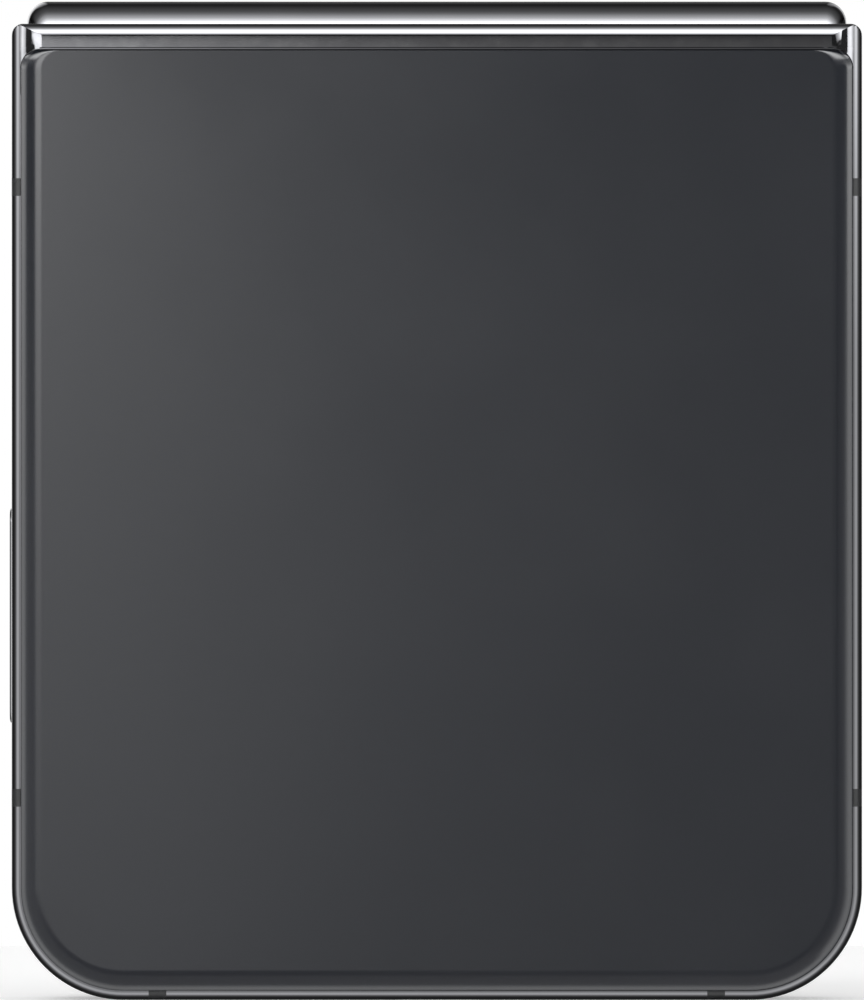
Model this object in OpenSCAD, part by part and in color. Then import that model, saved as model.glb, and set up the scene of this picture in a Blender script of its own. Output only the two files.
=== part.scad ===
// Foldable clamshell smartphone, closed and standing on its free edges with the hinge spine on top.
// X runs across the phone, Y from the near half (negative) to the far half, Z up.
// The origin is the middle of the footprint, on the surface that the phone stands on.
// Each half is drawn lying flat: x across, y along the phone from its free edge, z outwards from the
// plane midway between the two halves. lower() and upper() then stand it up in its place.

/* [Body] */
// Width across the phone
body_w = 71.9; // [68:0.1:80]
// Height of the closed phone, spine included
closed_h = 84.5; // [84.4:0.05:84.6]
// Thickness of the closed phone
closed_t = 16.5; // [16.3:0.1:17.1]
// Length of one half, from its free edge to its hinge edge
half_len = 82.5; // [82.3:0.1:82.7]
// Thickness of one half
half_t = 6.9; // [6.8:0.1:7.2]
// Radius of the free corners
corner_r = 9.5; // [8:0.5:11]
// Radius of the corners beside the hinge
hinge_corner_r = 1; // [0.5:0.1:1.2]
// Width of the side walls of the frame
rail_w = 1.5; // [1.3:0.1:1.7]
// Width of the curved edge round the back, of which the frame holds the outer part
edge_w = 2.6; // [2.4:0.1:2.8]

/* [Glass] */
// Thickness of the outer glass
glass_t = 0.75; // [0.7:0.05:0.8]
// Distance of the glass from the hinge edge
lip_h = 2.15; // [2:0.05:2.5]
// Height of the dark window at the free edge of the far half
window_h = 31; // [29:0.5:34]

/* [Hinge] */
// Distance of each turning axis from the middle plane
axis_off = 1.5; // [1.45:0.05:1.6]
// Gap between the halves when the phone lies open
seam_gap = 0.2; // [0.1:0.05:0.3]
// Running gap between spine and halves
lip_gap = 0.2; // [0.15:0.05:0.3]
// Length of the spine across the phone
spine_w = 69.4; // [69:0.1:69.5]
// Radius of the upper spine corners
spine_corner_r = 1.8; // [1:0.1:2]
// Wall of the spine cover
shell_t = 0.6; // [0.5:0.05:0.7]
// Inner radius of the curved guide rails
guide_r = 2.2; // [2.2:0.05:2.25]
// Thickness of the curved guide rails
guide_t = 0.45; // [0.4:0.05:0.5]

/* [Display] */
// Distance of the folded display from the middle plane
display_off = 1.7; // [1.65:0.05:1.75]
// Thickness of the folding display
display_t = 0.45; // [0.4:0.05:0.5]
// Width of the folding display panel
display_w = 66; // [64:0.5:66]
// Half width of the lit area
lit_half = 32.35; // [31:0.05:32.4]

/* [Keys and cameras] */
// Height of the middle of the volume key
volume_y = 32.45; // [31:0.05:34]
// Length of the volume key
volume_len = 18.4; // [16:0.1:20]
// How far the volume key stands proud
volume_proud = 0.35; // [0.1:0.05:0.4]
// Height of the middle of the side key
side_key_y = 57; // [56:0.5:58]
// Length of the side key
side_key_len = 14; // [12:0.5:15]
// Outer diameter of the camera rings
ring_d = 11.6; // [11:0.1:12]
// How far the camera rings stand proud
ring_proud = 0.9; // [0.6:0.1:1.2]
// Distance between the two camera centres
camera_pitch = 14; // [13:0.5:15]

/* [Hidden] */
$fn = 48;
eps = 0.01;

half_w = body_w / 2;
face_in = closed_t / 2 - half_t;
face_out = closed_t / 2;
axis_z = half_len + seam_gap / 2 - axis_off;
spine_r = closed_h - axis_z;
lip_v = axis_off + spine_r + lip_gap;
spine_low = half_len - 0.15;
spine_end_t = 1.2;
spine_mouth = axis_off + sqrt(pow(spine_r - shell_t, 2) - pow(spine_low - axis_z, 2));
bend_z = half_len + seam_gap / 2 - PI / 2 * display_off;
display_back = display_off + display_t;
side_v = (face_in + face_out) / 2;
seat_v = face_out - 0.95;
glass_v = face_out - glass_t;
plate_t = 0.6;
plate_v = display_back + plate_t;
plate_end = 68;
floor_y = 77.1;
wall_y = 76.5;
cavity_w = spine_w / 2 + 0.15;
side_flat_lo = 1.9;
side_flat_hi = 6.3;
frame_v = face_out - 0.1;
rim_angle = 45;
rim_w = round(1000 * edge_w * (1 - cos(rim_angle))) / 1000;
glass_gap = 0.04;
band_w = 1.5;
band_y = [17.1, 68.7];
band_x = 23.6;
band_depth = 1;
wing_v = display_back + 0.03;
wing_t = 0.35;
wing_end = 79.3;
wing_screw_x = [14, 28];
wing_screw_y = 72;
gear_z = 83;
gear_r = 0.65;
gear_teeth = 10;
gear_tip = 0.73;
gear_root = 0.5;
shaft_r = 0.33;
collar_r = 0.65;
housing_x = [12, 30];
lower_guide_x = 13.1;
upper_guide_x = 16.5;
guide_w = 2;
gear_x = [20.3, 23.1];
spring_x = [24.5, 28.5];
camera_x = -25.5;
camera_y = 10.5;
usb_w = 8.9;
usb_h = 3.2;
travel_gap = 0.1;
flex_x = [-11.5, -3.5];

metal = "#3c3d41";
bronze = "#6e6c68";
glass_grey = "#45474c";
band_grey = "#5a5c60";
black = "#0c0d10";
board_green = "#1d4a35";
steel = "#9a9ca0";
cell_grey = "#2a2c30";
copper = "#b0703c";

// Places that stand a flat half in its pose

module lower() {
    rotate([90, 0, 0]) children();
}

module upper() {
    mirror([0, 1, 0]) rotate([90, 0, 0]) children();
}

// Both sides of the phone
module both_sides() {
    for (side = [0, 1]) mirror([side, 0, 0]) children();
}

// Extrudes a shape drawn in the plane (y, z) from x0 to x1
module along_x(x0, x1) {
    translate([x0, 0, 0]) rotate([90, 0, 90]) linear_extrude(x1 - x0) children();
}

// A block given by its low and high corners
module block(low, high) {
    translate(low) cube(high - low);
}

// Cuts a square corner to a quarter circle: the corner is at the origin, the material at x<0 or x>0
module corner_cut(r, sx, sy) {
    difference() {
        translate([sx > 0 ? -eps : -r, sy > 0 ? -eps : -r]) square(r + eps);
        translate([sx * r, sy * r]) circle(r);
    }
}

// Outline of a half, drawn in by inset, from y0 to y1; only the free corners are round
module outline(inset, y0, y1) {
    w = half_w - inset;
    r = corner_r - inset;
    difference() {
        translate([-w, y0]) square([2 * w, y1 - y0]);
        translate([-w, y0]) corner_cut(r, 1, 1);
        translate([w, y0]) corner_cut(r, -1, 1);
    }
}

module slab(inset, y0, y1, v0, v1) {
    translate([0, 0, v0]) linear_extrude(v1 - v0) outline(inset, y0, y1);
}

// Curved edge of the back, from the flat side at 0 degrees to the flat back at 90
function micron(x) = round(1000 * x) / 1000;
function edge_inset(a) = micron(edge_w * (1 - cos(a)));
function edge_rise(a, top) = micron(side_flat_hi + (top - side_flat_hi) * sin(a));

// Section of the frame wall: [distance inwards, distance outwards from the middle plane]
rail_section = concat(
    [[rail_w, face_in], [0.45, face_in], [0.18, face_in + 0.12], [0.04, face_in + 0.32], [0, side_flat_lo]],
    [for (a = [0:9:rim_angle]) [edge_inset(a), edge_rise(a, frame_v)]],
    [[rim_w, seat_v], [rail_w, seat_v]]);

// Frame walls along three sides, as one sweep of the section
module frame_walls() {
    for (side = [0, 1]) mirror([side, 0, 0]) {
        translate([-half_w, half_len, 0]) rotate([90, 0, 0])
            linear_extrude(half_len - corner_r) polygon(rail_section);
        translate([corner_r - half_w, corner_r, 0]) rotate([0, 0, 180])
            rotate_extrude(angle = 90) polygon([for (p = rail_section) [corner_r - p[0], p[1]]]);
    }
    translate([corner_r - half_w, 0, 0]) rotate([90, 0, 90])
        linear_extrude(body_w - 2 * corner_r) polygon(rail_section);
}

// Bar along the hinge edge, under and beside the end of the glass
lip_round = 1.05;
lip_y = half_len - lip_h;
lip_section = concat(
    [[wall_y, lip_v], [half_len - 0.3, lip_v], [half_len, lip_v + 0.3]],
    [for (a = [0:10:90]) [micron(half_len - lip_round * (1 - cos(a))), micron(frame_v - lip_round * (1 - sin(a)))]],
    [[lip_y + 0.1, frame_v], [lip_y + 0.1, seat_v], [wall_y, seat_v]]);

module lip_bar() {
    back_edge = [for (a = [0:9:90]) [half_w - edge_inset(a), edge_rise(a, frame_v)]];
    intersection() {
        along_x(-half_w, half_w) polygon(lip_section);
        both_sides() translate([0, half_len + 1, 0]) rotate([90, 0, 0])
            linear_extrude(10) polygon(concat([[0, 0], [half_w, 0]], back_edge, [[0, frame_v]]));
    }
}

module frame() {
    difference() {
        union() {
            frame_walls();
            lip_bar();
            block([-half_w + rail_w - eps, wall_y, plate_v], [half_w - rail_w + eps, floor_y, lip_v + eps]);
        }
        block([-cavity_w, floor_y, face_in - 1], [cavity_w, half_len + 1, lip_v]);
        translate([0, 0, -1]) linear_extrude(face_out + 2) {
            translate([-half_w, half_len]) corner_cut(hinge_corner_r, 1, -1);
            translate([half_w, half_len]) corner_cut(hinge_corner_r, -1, -1);
        }
        block([flex_x[0] - 0.2, wall_y - 1, 4.2], [flex_x[1] + 0.2, floor_y + 1, 4.8]);
        band_slots();
    }
}

// Shallow slots in the outside of the frame for the antenna bands
module band_slots() {
    difference() {
        union() {
            for (y = band_y)
                block([-half_w - 1, y - band_w / 2, 0], [half_w + 1, y + band_w / 2, face_out + 1]);
            for (x = [-band_x, band_x])
                block([x - band_w / 2, -1, 0], [x + band_w / 2, corner_r / 2, face_out + 1]);
        }
        slab(band_depth, band_depth, half_len, -1, face_out + 2);
    }
}

module antenna_bands() {
    color(band_grey) intersection() {
        frame_walls();
        band_slots();
    }
}

// Glass panel with a curved edge that carries on the curve of the frame. Its end at the hinge, and its
// other end where that isn't the free edge, are only broken.
module glass_panel(y0, y1, free_corners) {
    first = acos(1 - (rim_w + glass_gap) / edge_w);
    layer_t = 0.1;
    hull() {
        translate([0, 0, glass_v]) linear_extrude(layer_t) panel_outline(rim_w + glass_gap, y0, y1, free_corners);
        for (k = [0:3]) {
            a = first + (90 - first) * k / 3;
            grow = edge_inset(a) - edge_inset(first);
            broken = min(0.12, grow);
            translate([0, 0, edge_rise(a, face_out) - layer_t]) linear_extrude(layer_t)
                panel_outline(edge_inset(a), y0 + (free_corners ? grow : broken), y1 - broken, free_corners);
        }
    }
}

module panel_outline(inset, y0, y1, free_corners) {
    w = half_w - inset;
    r = free_corners ? corner_r - inset : 1.6;
    difference() {
        translate([-w, y0]) square([2 * w, y1 - y0]);
        translate([-w, y0]) corner_cut(r, 1, 1);
        translate([w, y0]) corner_cut(r, -1, 1);
        translate([-w, y1]) corner_cut(1.6, 1, -1);
        translate([w, y1]) corner_cut(1.6, -1, -1);
    }
}

module glass_seal() {
    difference() {
        slab(rim_w + 0.14, rim_w + 0.14, lip_y - 0.1, seat_v, glass_v);
        slab(rail_w, rail_w, lip_y - 1, seat_v - 1, glass_v + 1);
    }
}

// Plate behind the display, stepped back near the hinge to make room for the wings
module midplate() {
    difference() {
        union() {
            slab(rail_w, rail_w, plate_end, display_back, plate_v);
            slab(rail_w, plate_end - 1, wall_y, wing_v + wing_t, plate_v + 0.35);
        }
        screw_holes(0.53, wing_v);
    }
}

module screw_holes(r, v0) {
    both_sides() for (x = wing_screw_x) translate([x, wing_screw_y, v0]) cylinder(r = r, h = 2);
}

// Screws that hold the wings, with their heads on the midplate
module wing_screws() {
    both_sides() for (x = wing_screw_x) {
        translate([x, wing_screw_y, wing_v + 0.05]) cylinder(r = 0.5, h = plate_v + 0.35 - wing_v - 0.05);
        translate([x, wing_screw_y, plate_v + 0.35]) cylinder(r = 1.2, h = 0.5);
    }
}

// A pair of closing magnets, 12 long, from y0, out to x1
module magnets(y0, x1) {
    both_sides() block([30.2, y0, plate_v], [x1, y0 + 12, plate_v + 2]);
}

module display_panel() {
    inset = half_w - display_w / 2;
    slab(inset, inset, bend_z - 0.03, display_off, display_back);
}

// Raised rim round the display: a thick wall beside the panel and a thin lip over its edge
module bezel() {
    inset = half_w - display_w / 2;
    difference() {
        slab(rail_w, rail_w, 80, face_in, display_back);
        slab(inset - 0.1, inset - 0.1, 81, display_off - 0.03, display_back + 1);
        slab(half_w - lit_half, half_w - lit_half, 81, face_in - 1, display_back + 1);
        translate([0, plate_end, wing_v]) block([-33.2, 0, 0], [33.2, 20, 2]);
    }
}

// One hinge wing: a thin plate behind the display that ends in a curved guide rail round the axis
module wing(guide_x) {
    difference() {
        union() {
            block([housing_x[0] + 0.5, 69, wing_v], [housing_x[1] - 0.5, wing_end, wing_v + wing_t]);
            guide_rail(guide_x);
        }
        for (x = wing_screw_x) translate([x, wing_screw_y, wing_v - 1]) cylinder(r = 0.5, h = 3);
    }
}

module guide_rail(guide_x) {
    intersection() {
        translate([guide_x, axis_z, axis_off]) rotate([0, 90, 0]) difference() {
            cylinder(r = guide_r + guide_t, h = guide_w);
            translate([0, 0, -1]) cylinder(r = guide_r, h = guide_w + 2);
        }
        along_x(guide_x - 1, guide_x + guide_w + 1) translate([axis_z, axis_off])
            polygon([[0, 0], for (a = [-66:37:45]) 5 * [sin(a), cos(a)], 5 * [sin(45), cos(45)]]);
    }
}

// Spine section in the plane (y, z), drawn in by inset
module spine_shape(inset) {
    r = spine_r - inset;
    intersection() {
        union() {
            for (y = [-axis_off, axis_off]) translate([y, axis_z]) circle(r);
            translate([-axis_off, axis_z]) square([2 * axis_off, r]);
        }
        translate([-10, spine_low]) square([20, 10]);
    }
}

module spine_ends(half_length) {
    rotate([90, 0, 0]) translate([0, 0, -10]) linear_extrude(20) {
        translate([-half_length, closed_h]) corner_cut(spine_corner_r, 1, -1);
        translate([half_length, closed_h]) corner_cut(spine_corner_r, -1, -1);
    }
}

module housing() {
    difference() {
        along_x(housing_x[0], housing_x[1]) difference() {
            spine_shape(shell_t);
            circle_channel();
        }
        for (g = [[-axis_off, lower_guide_x], [axis_off, upper_guide_x]])
            translate([g[1] - 0.1, g[0], axis_z]) rotate([0, 90, 0]) difference() {
                cylinder(r = guide_r + guide_t + 0.05, h = guide_w + 0.2);
                translate([0, 0, -1]) cylinder(r = guide_r - 0.05, h = guide_w + 3);
            }
        gear_room(gear_x, 0.2, gear_tip + 0.05);
        gear_room(spring_x, 0.1, collar_r + 0.05);
        for (y = shaft_ys()) translate([gear_x[0] - 1, y, gear_z]) rotate([0, 90, 0])
            cylinder(r = shaft_r + 0.03, h = 10.1);
    }
}

// Slot in the housing round the gears or the collars, open downwards
module gear_room(x, gap, r) {
    y = 3 * gear_r + r + 0.1;
    block([x[0] - gap, -y, spine_low - 1], [x[1] + gap, y, gear_z + r]);
}

// Room for the bent display
module circle_channel() {
    translate([0, bend_z]) circle(display_back + 0.12);
}

function shaft_ys() = [for (k = [-3, -1, 1, 3]) k * gear_r];

function gear_points(phase) = [for (i = [0:gear_teeth - 1])
    for (q = [[-9, gear_root], [-3, gear_tip], [3, gear_tip], [9, gear_root]])
        let (a = i * 360 / gear_teeth + phase + q[0]) q[1] * [cos(a), sin(a)]];

module gear_pair(k, long_shaft) {
    phase = (k == -3 || k == 1) ? 0 : 180 / gear_teeth;
    both_sides() translate([0, k * gear_r, gear_z]) {
        along_x(gear_x[0], gear_x[1]) polygon(gear_points(phase));
        translate([gear_x[0] - 0.9, 0, 0]) rotate([0, 90, 0])
            cylinder(r = shaft_r, h = long_shaft ? 9.8 : 4.6);
    }
}

// Lower half

module lower_frame() {
    color(metal) lower() difference() {
        frame();
        usb_slot(usb_w + 0.4, usb_h + 0.3);
        for (i = [0:5]) translate([8.6 + i * 1.9, -1, side_v]) rotate([-90, 0, 0]) cylinder(r = 0.5, h = 3);
        translate([-9, -1, side_v]) rotate([-90, 0, 0]) cylinder(r = 0.45, h = 3);
    }
}

module usb_slot(w, h) {
    translate([0, -1, side_v]) rotate([-90, 0, 0]) linear_extrude(3) stadium(w, h);
}

module stadium(w, h) {
    square([w - h, h], center = true);
    for (x = [-1, 1]) translate([x * (w - h) / 2, 0]) circle(h / 2);
}

module lower_antenna_bands() {
    lower() antenna_bands();
}

module rear_glass() {
    color(glass_grey) lower() glass_panel(rim_w + glass_gap, lip_y, true);
}

module rear_glass_seal() {
    color(black) lower() glass_seal();
}

module lower_midplate() {
    color(steel) lower() midplate();
}

module lower_display() {
    color(black) lower() display_panel();
}

module lower_bezel() {
    color(black) lower() bezel();
}

module lower_battery() {
    color(cell_grey) lower() block([-29, 16, plate_v], [29, 63, 6.7]);
}

module charging_board() {
    color(board_green) lower() difference() {
        block([-30, 2.5, plate_v], [30, 14, plate_v + 0.6]);
        block([-5.5, 0, plate_v - 1], [5.5, 9.5, 6]);
    }
}

module usb_socket() {
    color(steel) lower() {
        difference() {
            translate([0, 0.3, side_v]) rotate([-90, 0, 0]) linear_extrude(7.7) stadium(usb_w, usb_h);
            translate([0, 0, side_v]) rotate([-90, 0, 0]) linear_extrude(7.4)
                stadium(usb_w - 0.56, usb_h - 0.64);
        }
        block([-3.3, 3, side_v - 0.35], [3.3, 7.5, side_v + 0.35]);
        block([-4, 1.6, plate_v], [4, 8, side_v - usb_h / 2 + 0.05]);
    }
}

module loudspeaker() {
    color(black) lower() block([7.5, 2.6, plate_v + 0.6], [27, 13.8, 7.1]);
}

module loudspeaker_mesh() {
    color(steel) lower() block([7.6, rail_w, side_v - 0.8], [19.2, rail_w + 0.25, side_v + 0.8]);
}

module vibration_motor() {
    color(steel) lower() block([-28, 3.2, plate_v + 0.6], [-16, 12.6, 6.6]);
}

module lower_microphone() {
    color(steel) lower() block([-11, 2.7, plate_v + 0.6], [-7, 5.4, plate_v + 1.7]);
}

module charging_coil() {
    color(copper) lower() translate([0, 39.5, 6.95]) difference() {
        cylinder(r = 21, h = 0.35);
        translate([0, 0, -1]) cylinder(r = 11, h = 3);
    }
}

module coil_ferrite() {
    color(cell_grey) lower() block([-23, 17, 6.7], [23, 62, 6.95]);
}

module lower_wing_left() {
    color(steel) lower() mirror([1, 0, 0]) wing(lower_guide_x);
}

module lower_wing_right() {
    color(steel) lower() wing(lower_guide_x);
}

module lower_screws() {
    color(steel) lower() {
        wing_screws();
        both_sides() for (y = [8, 12]) translate([31.5, y, plate_v]) cylinder(r = 1.1, h = 1.2);
    }
}

module lower_magnets() {
    color(steel) lower() magnets(26, 32.7);
}

// Flat cable that joins the two boards, up to the slot beside the hinge
module lower_flex() {
    color(copper) lower() half_flex();
}

module half_flex() {
    block([flex_x[0], 63.2, 4.4], [flex_x[1], floor_y, 4.6]);
    block([flex_x[0], 63.2, plate_v], [flex_x[1], 64.2, 4.4]);
}

// Spine

module spine_cover() {
    color(metal) difference() {
        along_x(-spine_w / 2, spine_w / 2) spine_shape(0);
        along_x(-spine_w / 2 + spine_end_t, spine_w / 2 - spine_end_t) {
            spine_shape(shell_t);
            translate([-spine_mouth, spine_low - 0.1]) square([2 * spine_mouth, 0.1 + eps]);
        }
        spine_ends(spine_w / 2);
    }
}

module spine_end_caps() {
    color(black) both_sides()
        block([display_w / 2 + 0.15, -1.2, axis_z - 0.15], [spine_w / 2 - 0.1, 1.2, spine_low]);
}

module hinge_housing_left() {
    color(bronze) mirror([1, 0, 0]) housing();
}

module hinge_housing_right() {
    color(bronze) housing();
}

module display_bend() {
    color(black) along_x(-display_w / 2, display_w / 2) intersection() {
        translate([0, bend_z]) difference() {
            circle(display_back);
            circle(display_off);
        }
        translate([-5, bend_z]) square(10);
    }
}

// Spring collars that rub on the gear shafts and hold the phone at any angle
module friction_collars() {
    color(steel) both_sides() for (y = [-3 * gear_r, 3 * gear_r])
        translate([spring_x[0], y, gear_z]) rotate([0, 90, 0]) difference() {
            cylinder(r = collar_r, h = spring_x[1] - spring_x[0]);
            translate([0, 0, -1]) cylinder(r = shaft_r + 0.03, h = 10);
        }
}

// Flat cable across the hinge: an arch on two legs, outwards and back along its inner side
flex_r = 3.3;
flex_t = 0.2;
flex_z = bend_z + 0.4;
function flex_side(r, way) = concat([[way * r, floor_y + 0.1]],
    [for (a = [0:9:180]) [way * r * cos(a), flex_z + r * sin(a)]], [[-way * r, floor_y + 0.1]]);

module hinge_flex() {
    color(copper) along_x(flex_x[0], flex_x[1]) polygon(concat(flex_side(flex_r, 1), flex_side(flex_r - flex_t, -1)));
}

module lower_gear_shafts() {
    color(steel) gear_pair(-3, true);
}

module lower_idler_gears() {
    color(bronze) gear_pair(-1, false);
}

module upper_idler_gears() {
    color(bronze) gear_pair(1, false);
}

module upper_gear_shafts() {
    color(steel) gear_pair(3, true);
}

// Upper half

tray_y = [20, 31];
tray_v = [side_v - 0.45, side_v + 0.45];

module upper_frame() {
    color(metal) upper() difference() {
        frame();
        key_slot(volume_y, volume_len, 2.6);
        key_slot(side_key_y, side_key_len, 3);
        block([half_w - 2, tray_y[0] - 0.6, side_v - 0.9], [half_w + 1, tray_y[1] + 0.6, side_v + 0.9]);
        translate([12, -1, side_v]) rotate([-90, 0, 0]) cylinder(r = 0.45, h = 3);
    }
}

module key_slot(y, len, w) {
    block([-half_w - 1, y - len / 2 - travel_gap, side_v - w / 2 - travel_gap],
        [-half_w + 2, y + len / 2 + travel_gap, side_v + w / 2 + travel_gap]);
}

module upper_antenna_bands() {
    upper() antenna_bands();
}

module upper_rear_glass() {
    color(glass_grey) upper() glass_panel(window_h + 0.15, lip_y, false);
}

module cover_window() {
    color(black) upper() difference() {
        glass_panel(rim_w + glass_gap, window_h, true);
        for (k = [0, 1]) translate([camera_x, camera_y + k * camera_pitch, 7])
            cylinder(r = ring_d / 2 - 0.55, h = 3);
        translate([camera_x + 8.2, camera_y + camera_pitch / 2, 7]) cylinder(r = 1.7, h = 3);
    }
}

module upper_glass_seal() {
    color(black) upper() glass_seal();
}

module cover_screen() {
    color(black) upper() block([-11.5, 4.5, 7.05], [31.5, 26.5, glass_v]);
}

module camera_ring(k) {
    color(metal) upper() translate([camera_x, camera_y + k * camera_pitch, 0]) difference() {
        union() {
            translate([0, 0, 7.2]) cylinder(r = ring_d / 2 - 0.6, h = 1.4);
            translate([0, 0, face_out]) cylinder(r = ring_d / 2, h = ring_proud - 0.3);
            translate([0, 0, face_out + ring_proud - 0.3]) cylinder(r1 = ring_d / 2, r2 = ring_d / 2 - 0.3, h = 0.3);
        }
        translate([0, 0, 7]) cylinder(r = ring_d / 2 - 1.3, h = 3);
    }
}

module main_camera_ring() {
    camera_ring(1);
}

module wide_camera_ring() {
    camera_ring(0);
}

module camera_windows() {
    color(black) upper() for (k = [0, 1])
        translate([camera_x, camera_y + k * camera_pitch, face_out + 0.1]) cylinder(r = ring_d / 2 - 1.3, h = 0.6);
}

module camera_module(k, lens_r) {
    color(black) upper() translate([camera_x, camera_y + k * camera_pitch, 0]) {
        block([-5.2, -5.2, plate_v], [5.2, 5.2, 6.6]);
        translate([0, 0, 6.5]) cylinder(r = lens_r, h = face_out - 6.5);
    }
}

module main_camera() {
    camera_module(1, 3.4);
}

module wide_camera() {
    camera_module(0, 3);
}

module flash_window() {
    color("white") upper() translate([camera_x + 8.2, camera_y + camera_pitch / 2, 0]) {
        translate([0, 0, glass_v - 0.4]) cylinder(r = 2.2, h = 0.4);
        translate([0, 0, glass_v]) cylinder(r = 1.6, h = glass_t - 0.06);
    }
}

front_y = 7.6;

module upper_midplate() {
    color(steel) upper() difference() {
        midplate();
        translate([0, front_y, 1]) cylinder(r = 1.85, h = 3);
    }
}

module upper_display() {
    color(black) upper() difference() {
        display_panel();
        translate([0, front_y, 1]) cylinder(r = 1.9, h = 3);
    }
}

module upper_bezel() {
    color(black) upper() difference() {
        bezel();
        block([-4.5, 1, face_in - 1], [4.5, rail_w + 0.35, display_back + 1]);
    }
}

module front_camera() {
    color(black) upper() {
        translate([0, front_y, display_off + 0.15]) cylinder(r = 1.7, h = plate_v - display_off);
        block([-2.6, front_y - 2.4, plate_v], [2.6, front_y + 2.4, 5.2]);
    }
}

module earpiece() {
    color(black) upper() block([-7, 1.7, plate_v], [7, 5, 5.6]);
}

module upper_battery() {
    color(cell_grey) upper() block([-28.5, 36, plate_v], [29, 62, 6.9]);
}

module main_board() {
    color(board_green) upper() block([-19, 11.5, plate_v], [33.5, 34.5, plate_v + 0.6]);
}

module shield_cans() {
    color(steel) upper() {
        block([-17, 13, plate_v + 0.6], [-3, 32, 5]);
        block([-1, 13, plate_v + 0.6], [15, 32, 5]);
        block([18, 12.2, plate_v + 0.6], [32, 18, 5]);
    }
}

side_key_w = 3;
module side_key() {
    color(metal) upper() {
        block([-half_w + 0.08, side_key_y - side_key_len / 2, side_v - side_key_w / 2],
            [-half_w + rail_w + 0.5, side_key_y + side_key_len / 2, side_v + side_key_w / 2]);
        block([-half_w + rail_w + 0.1, side_key_y - side_key_len / 2 - 0.7, side_v - side_key_w / 2 - 0.5],
            [-half_w + rail_w + 0.5, side_key_y + side_key_len / 2 + 0.7, side_v + side_key_w / 2 + 0.5]);
        block([-half_w + rail_w + 0.4, side_key_y - 1, side_v - 1],
            [-half_w + rail_w + 1, side_key_y + 1, side_v + 1]);
    }
}

module side_key_switch() {
    color(steel) upper() block([-half_w + rail_w + 1.3, side_key_y - 6, plate_v],
        [-half_w + rail_w + 1.9, side_key_y + 6, side_v + 1.6]);
}

volume_w = 2.6;
module volume_key() {
    inner = -half_w + rail_w;
    r = volume_w / 2;
    color(metal) upper() {
        translate([0, 0, side_v]) rotate([0, -90, 0]) translate([0, 0, half_w - rail_w - 0.3])
            linear_extrude(rail_w + 0.3 + volume_proud) translate([0, volume_y]) rotate(90)
                stadium(volume_len, volume_w);
        block([inner + 0.25, volume_y - volume_len / 2 - 0.6, side_v - r - 0.5],
            [inner + 0.65, volume_y + volume_len / 2 + 0.6, side_v + r + 0.5]);
        for (s = [-1, 1]) block([inner + 0.6, volume_y + s * 6.5 - 0.8, side_v - 0.8],
            [inner + 0.95, volume_y + s * 6.5 + 0.8, side_v + 0.8]);
    }
}

module volume_switches() {
    inner = -half_w + rail_w;
    color(steel) upper() {
        for (s = [-1, 1]) block([inner + 1.2, volume_y + s * 6.5 - 1.5, side_v - 1.2],
            [inner + 1.6, volume_y + s * 6.5 + 1.5, side_v + 1.2]);
        block([inner + 1.6, volume_y - 9, plate_v], [inner + 1.9, volume_y + 9, side_v + 1.4]);
    }
}

module card_tray() {
    color(metal) upper() {
        difference() {
            block([19, tray_y[0] + 0.4, tray_v[0]], [half_w - 1.2, tray_y[1] - 0.4, tray_v[1]]);
            block([20.2, tray_y[0] + 1.2, tray_v[0] + 0.2], [32, tray_y[1] - 1.2, tray_v[1] + 1]);
        }
        block([half_w - rail_w + 0.1, tray_y[0] - 0.5, side_v - 0.8],
            [half_w - 0.03, tray_y[1] + 0.5, side_v + 0.8]);
    }
}

module card_holder() {
    color(steel) upper() difference() {
        block([17.6, tray_y[0] - 0.6, plate_v + 0.6], [33.4, tray_y[1] + 0.6, side_v + 0.9]);
        block([18.4, tray_y[0] + 0.25, tray_v[0] - 0.12], [40, tray_y[1] - 0.25, tray_v[1] + 0.12]);
        block([20, tray_y[0] + 1.5, side_v], [40, tray_y[1] - 1.5, side_v + 2]);
    }
}

module upper_wings() {
    color(steel) upper() both_sides() wing(upper_guide_x);
}

module upper_screws_and_magnets() {
    color(steel) upper() {
        wing_screws();
        magnets(44, 32.3);
    }
}

lower_frame();
lower_antenna_bands();
rear_glass();
rear_glass_seal();
lower_midplate();
lower_display();
lower_bezel();
lower_battery();
charging_board();
usb_socket();
loudspeaker();
loudspeaker_mesh();
vibration_motor();
lower_microphone();
charging_coil();
coil_ferrite();
lower_wing_left();
lower_wing_right();
lower_screws();
lower_magnets();
lower_flex();
spine_cover();
spine_end_caps();
hinge_housing_left();
hinge_housing_right();
display_bend();
friction_collars();
hinge_flex();
lower_gear_shafts();
lower_idler_gears();
upper_idler_gears();
upper_gear_shafts();
upper_frame();
upper_antenna_bands();
upper_rear_glass();
cover_window();
upper_glass_seal();
cover_screen();
main_camera_ring();
wide_camera_ring();
camera_windows();
main_camera();
wide_camera();
flash_window();
upper_midplate();
upper_display();
upper_bezel();
front_camera();
earpiece();
upper_battery();
main_board();
shield_cans();
side_key();
side_key_switch();
volume_key();
volume_switches();
card_tray();
card_holder();
upper_wings();
upper_screws_and_magnets();
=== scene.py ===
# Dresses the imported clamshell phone: fine meshes for what shows, procedural finishes for every piece,
# and a pale studio with the camera square to the rear glass.

import math

import bmesh
import bpy
from bpy.props import FloatProperty, FloatVectorProperty, PointerProperty
from bpy.types import Operator, Panel, PropertyGroup
from mathutils import Matrix, Vector


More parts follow.
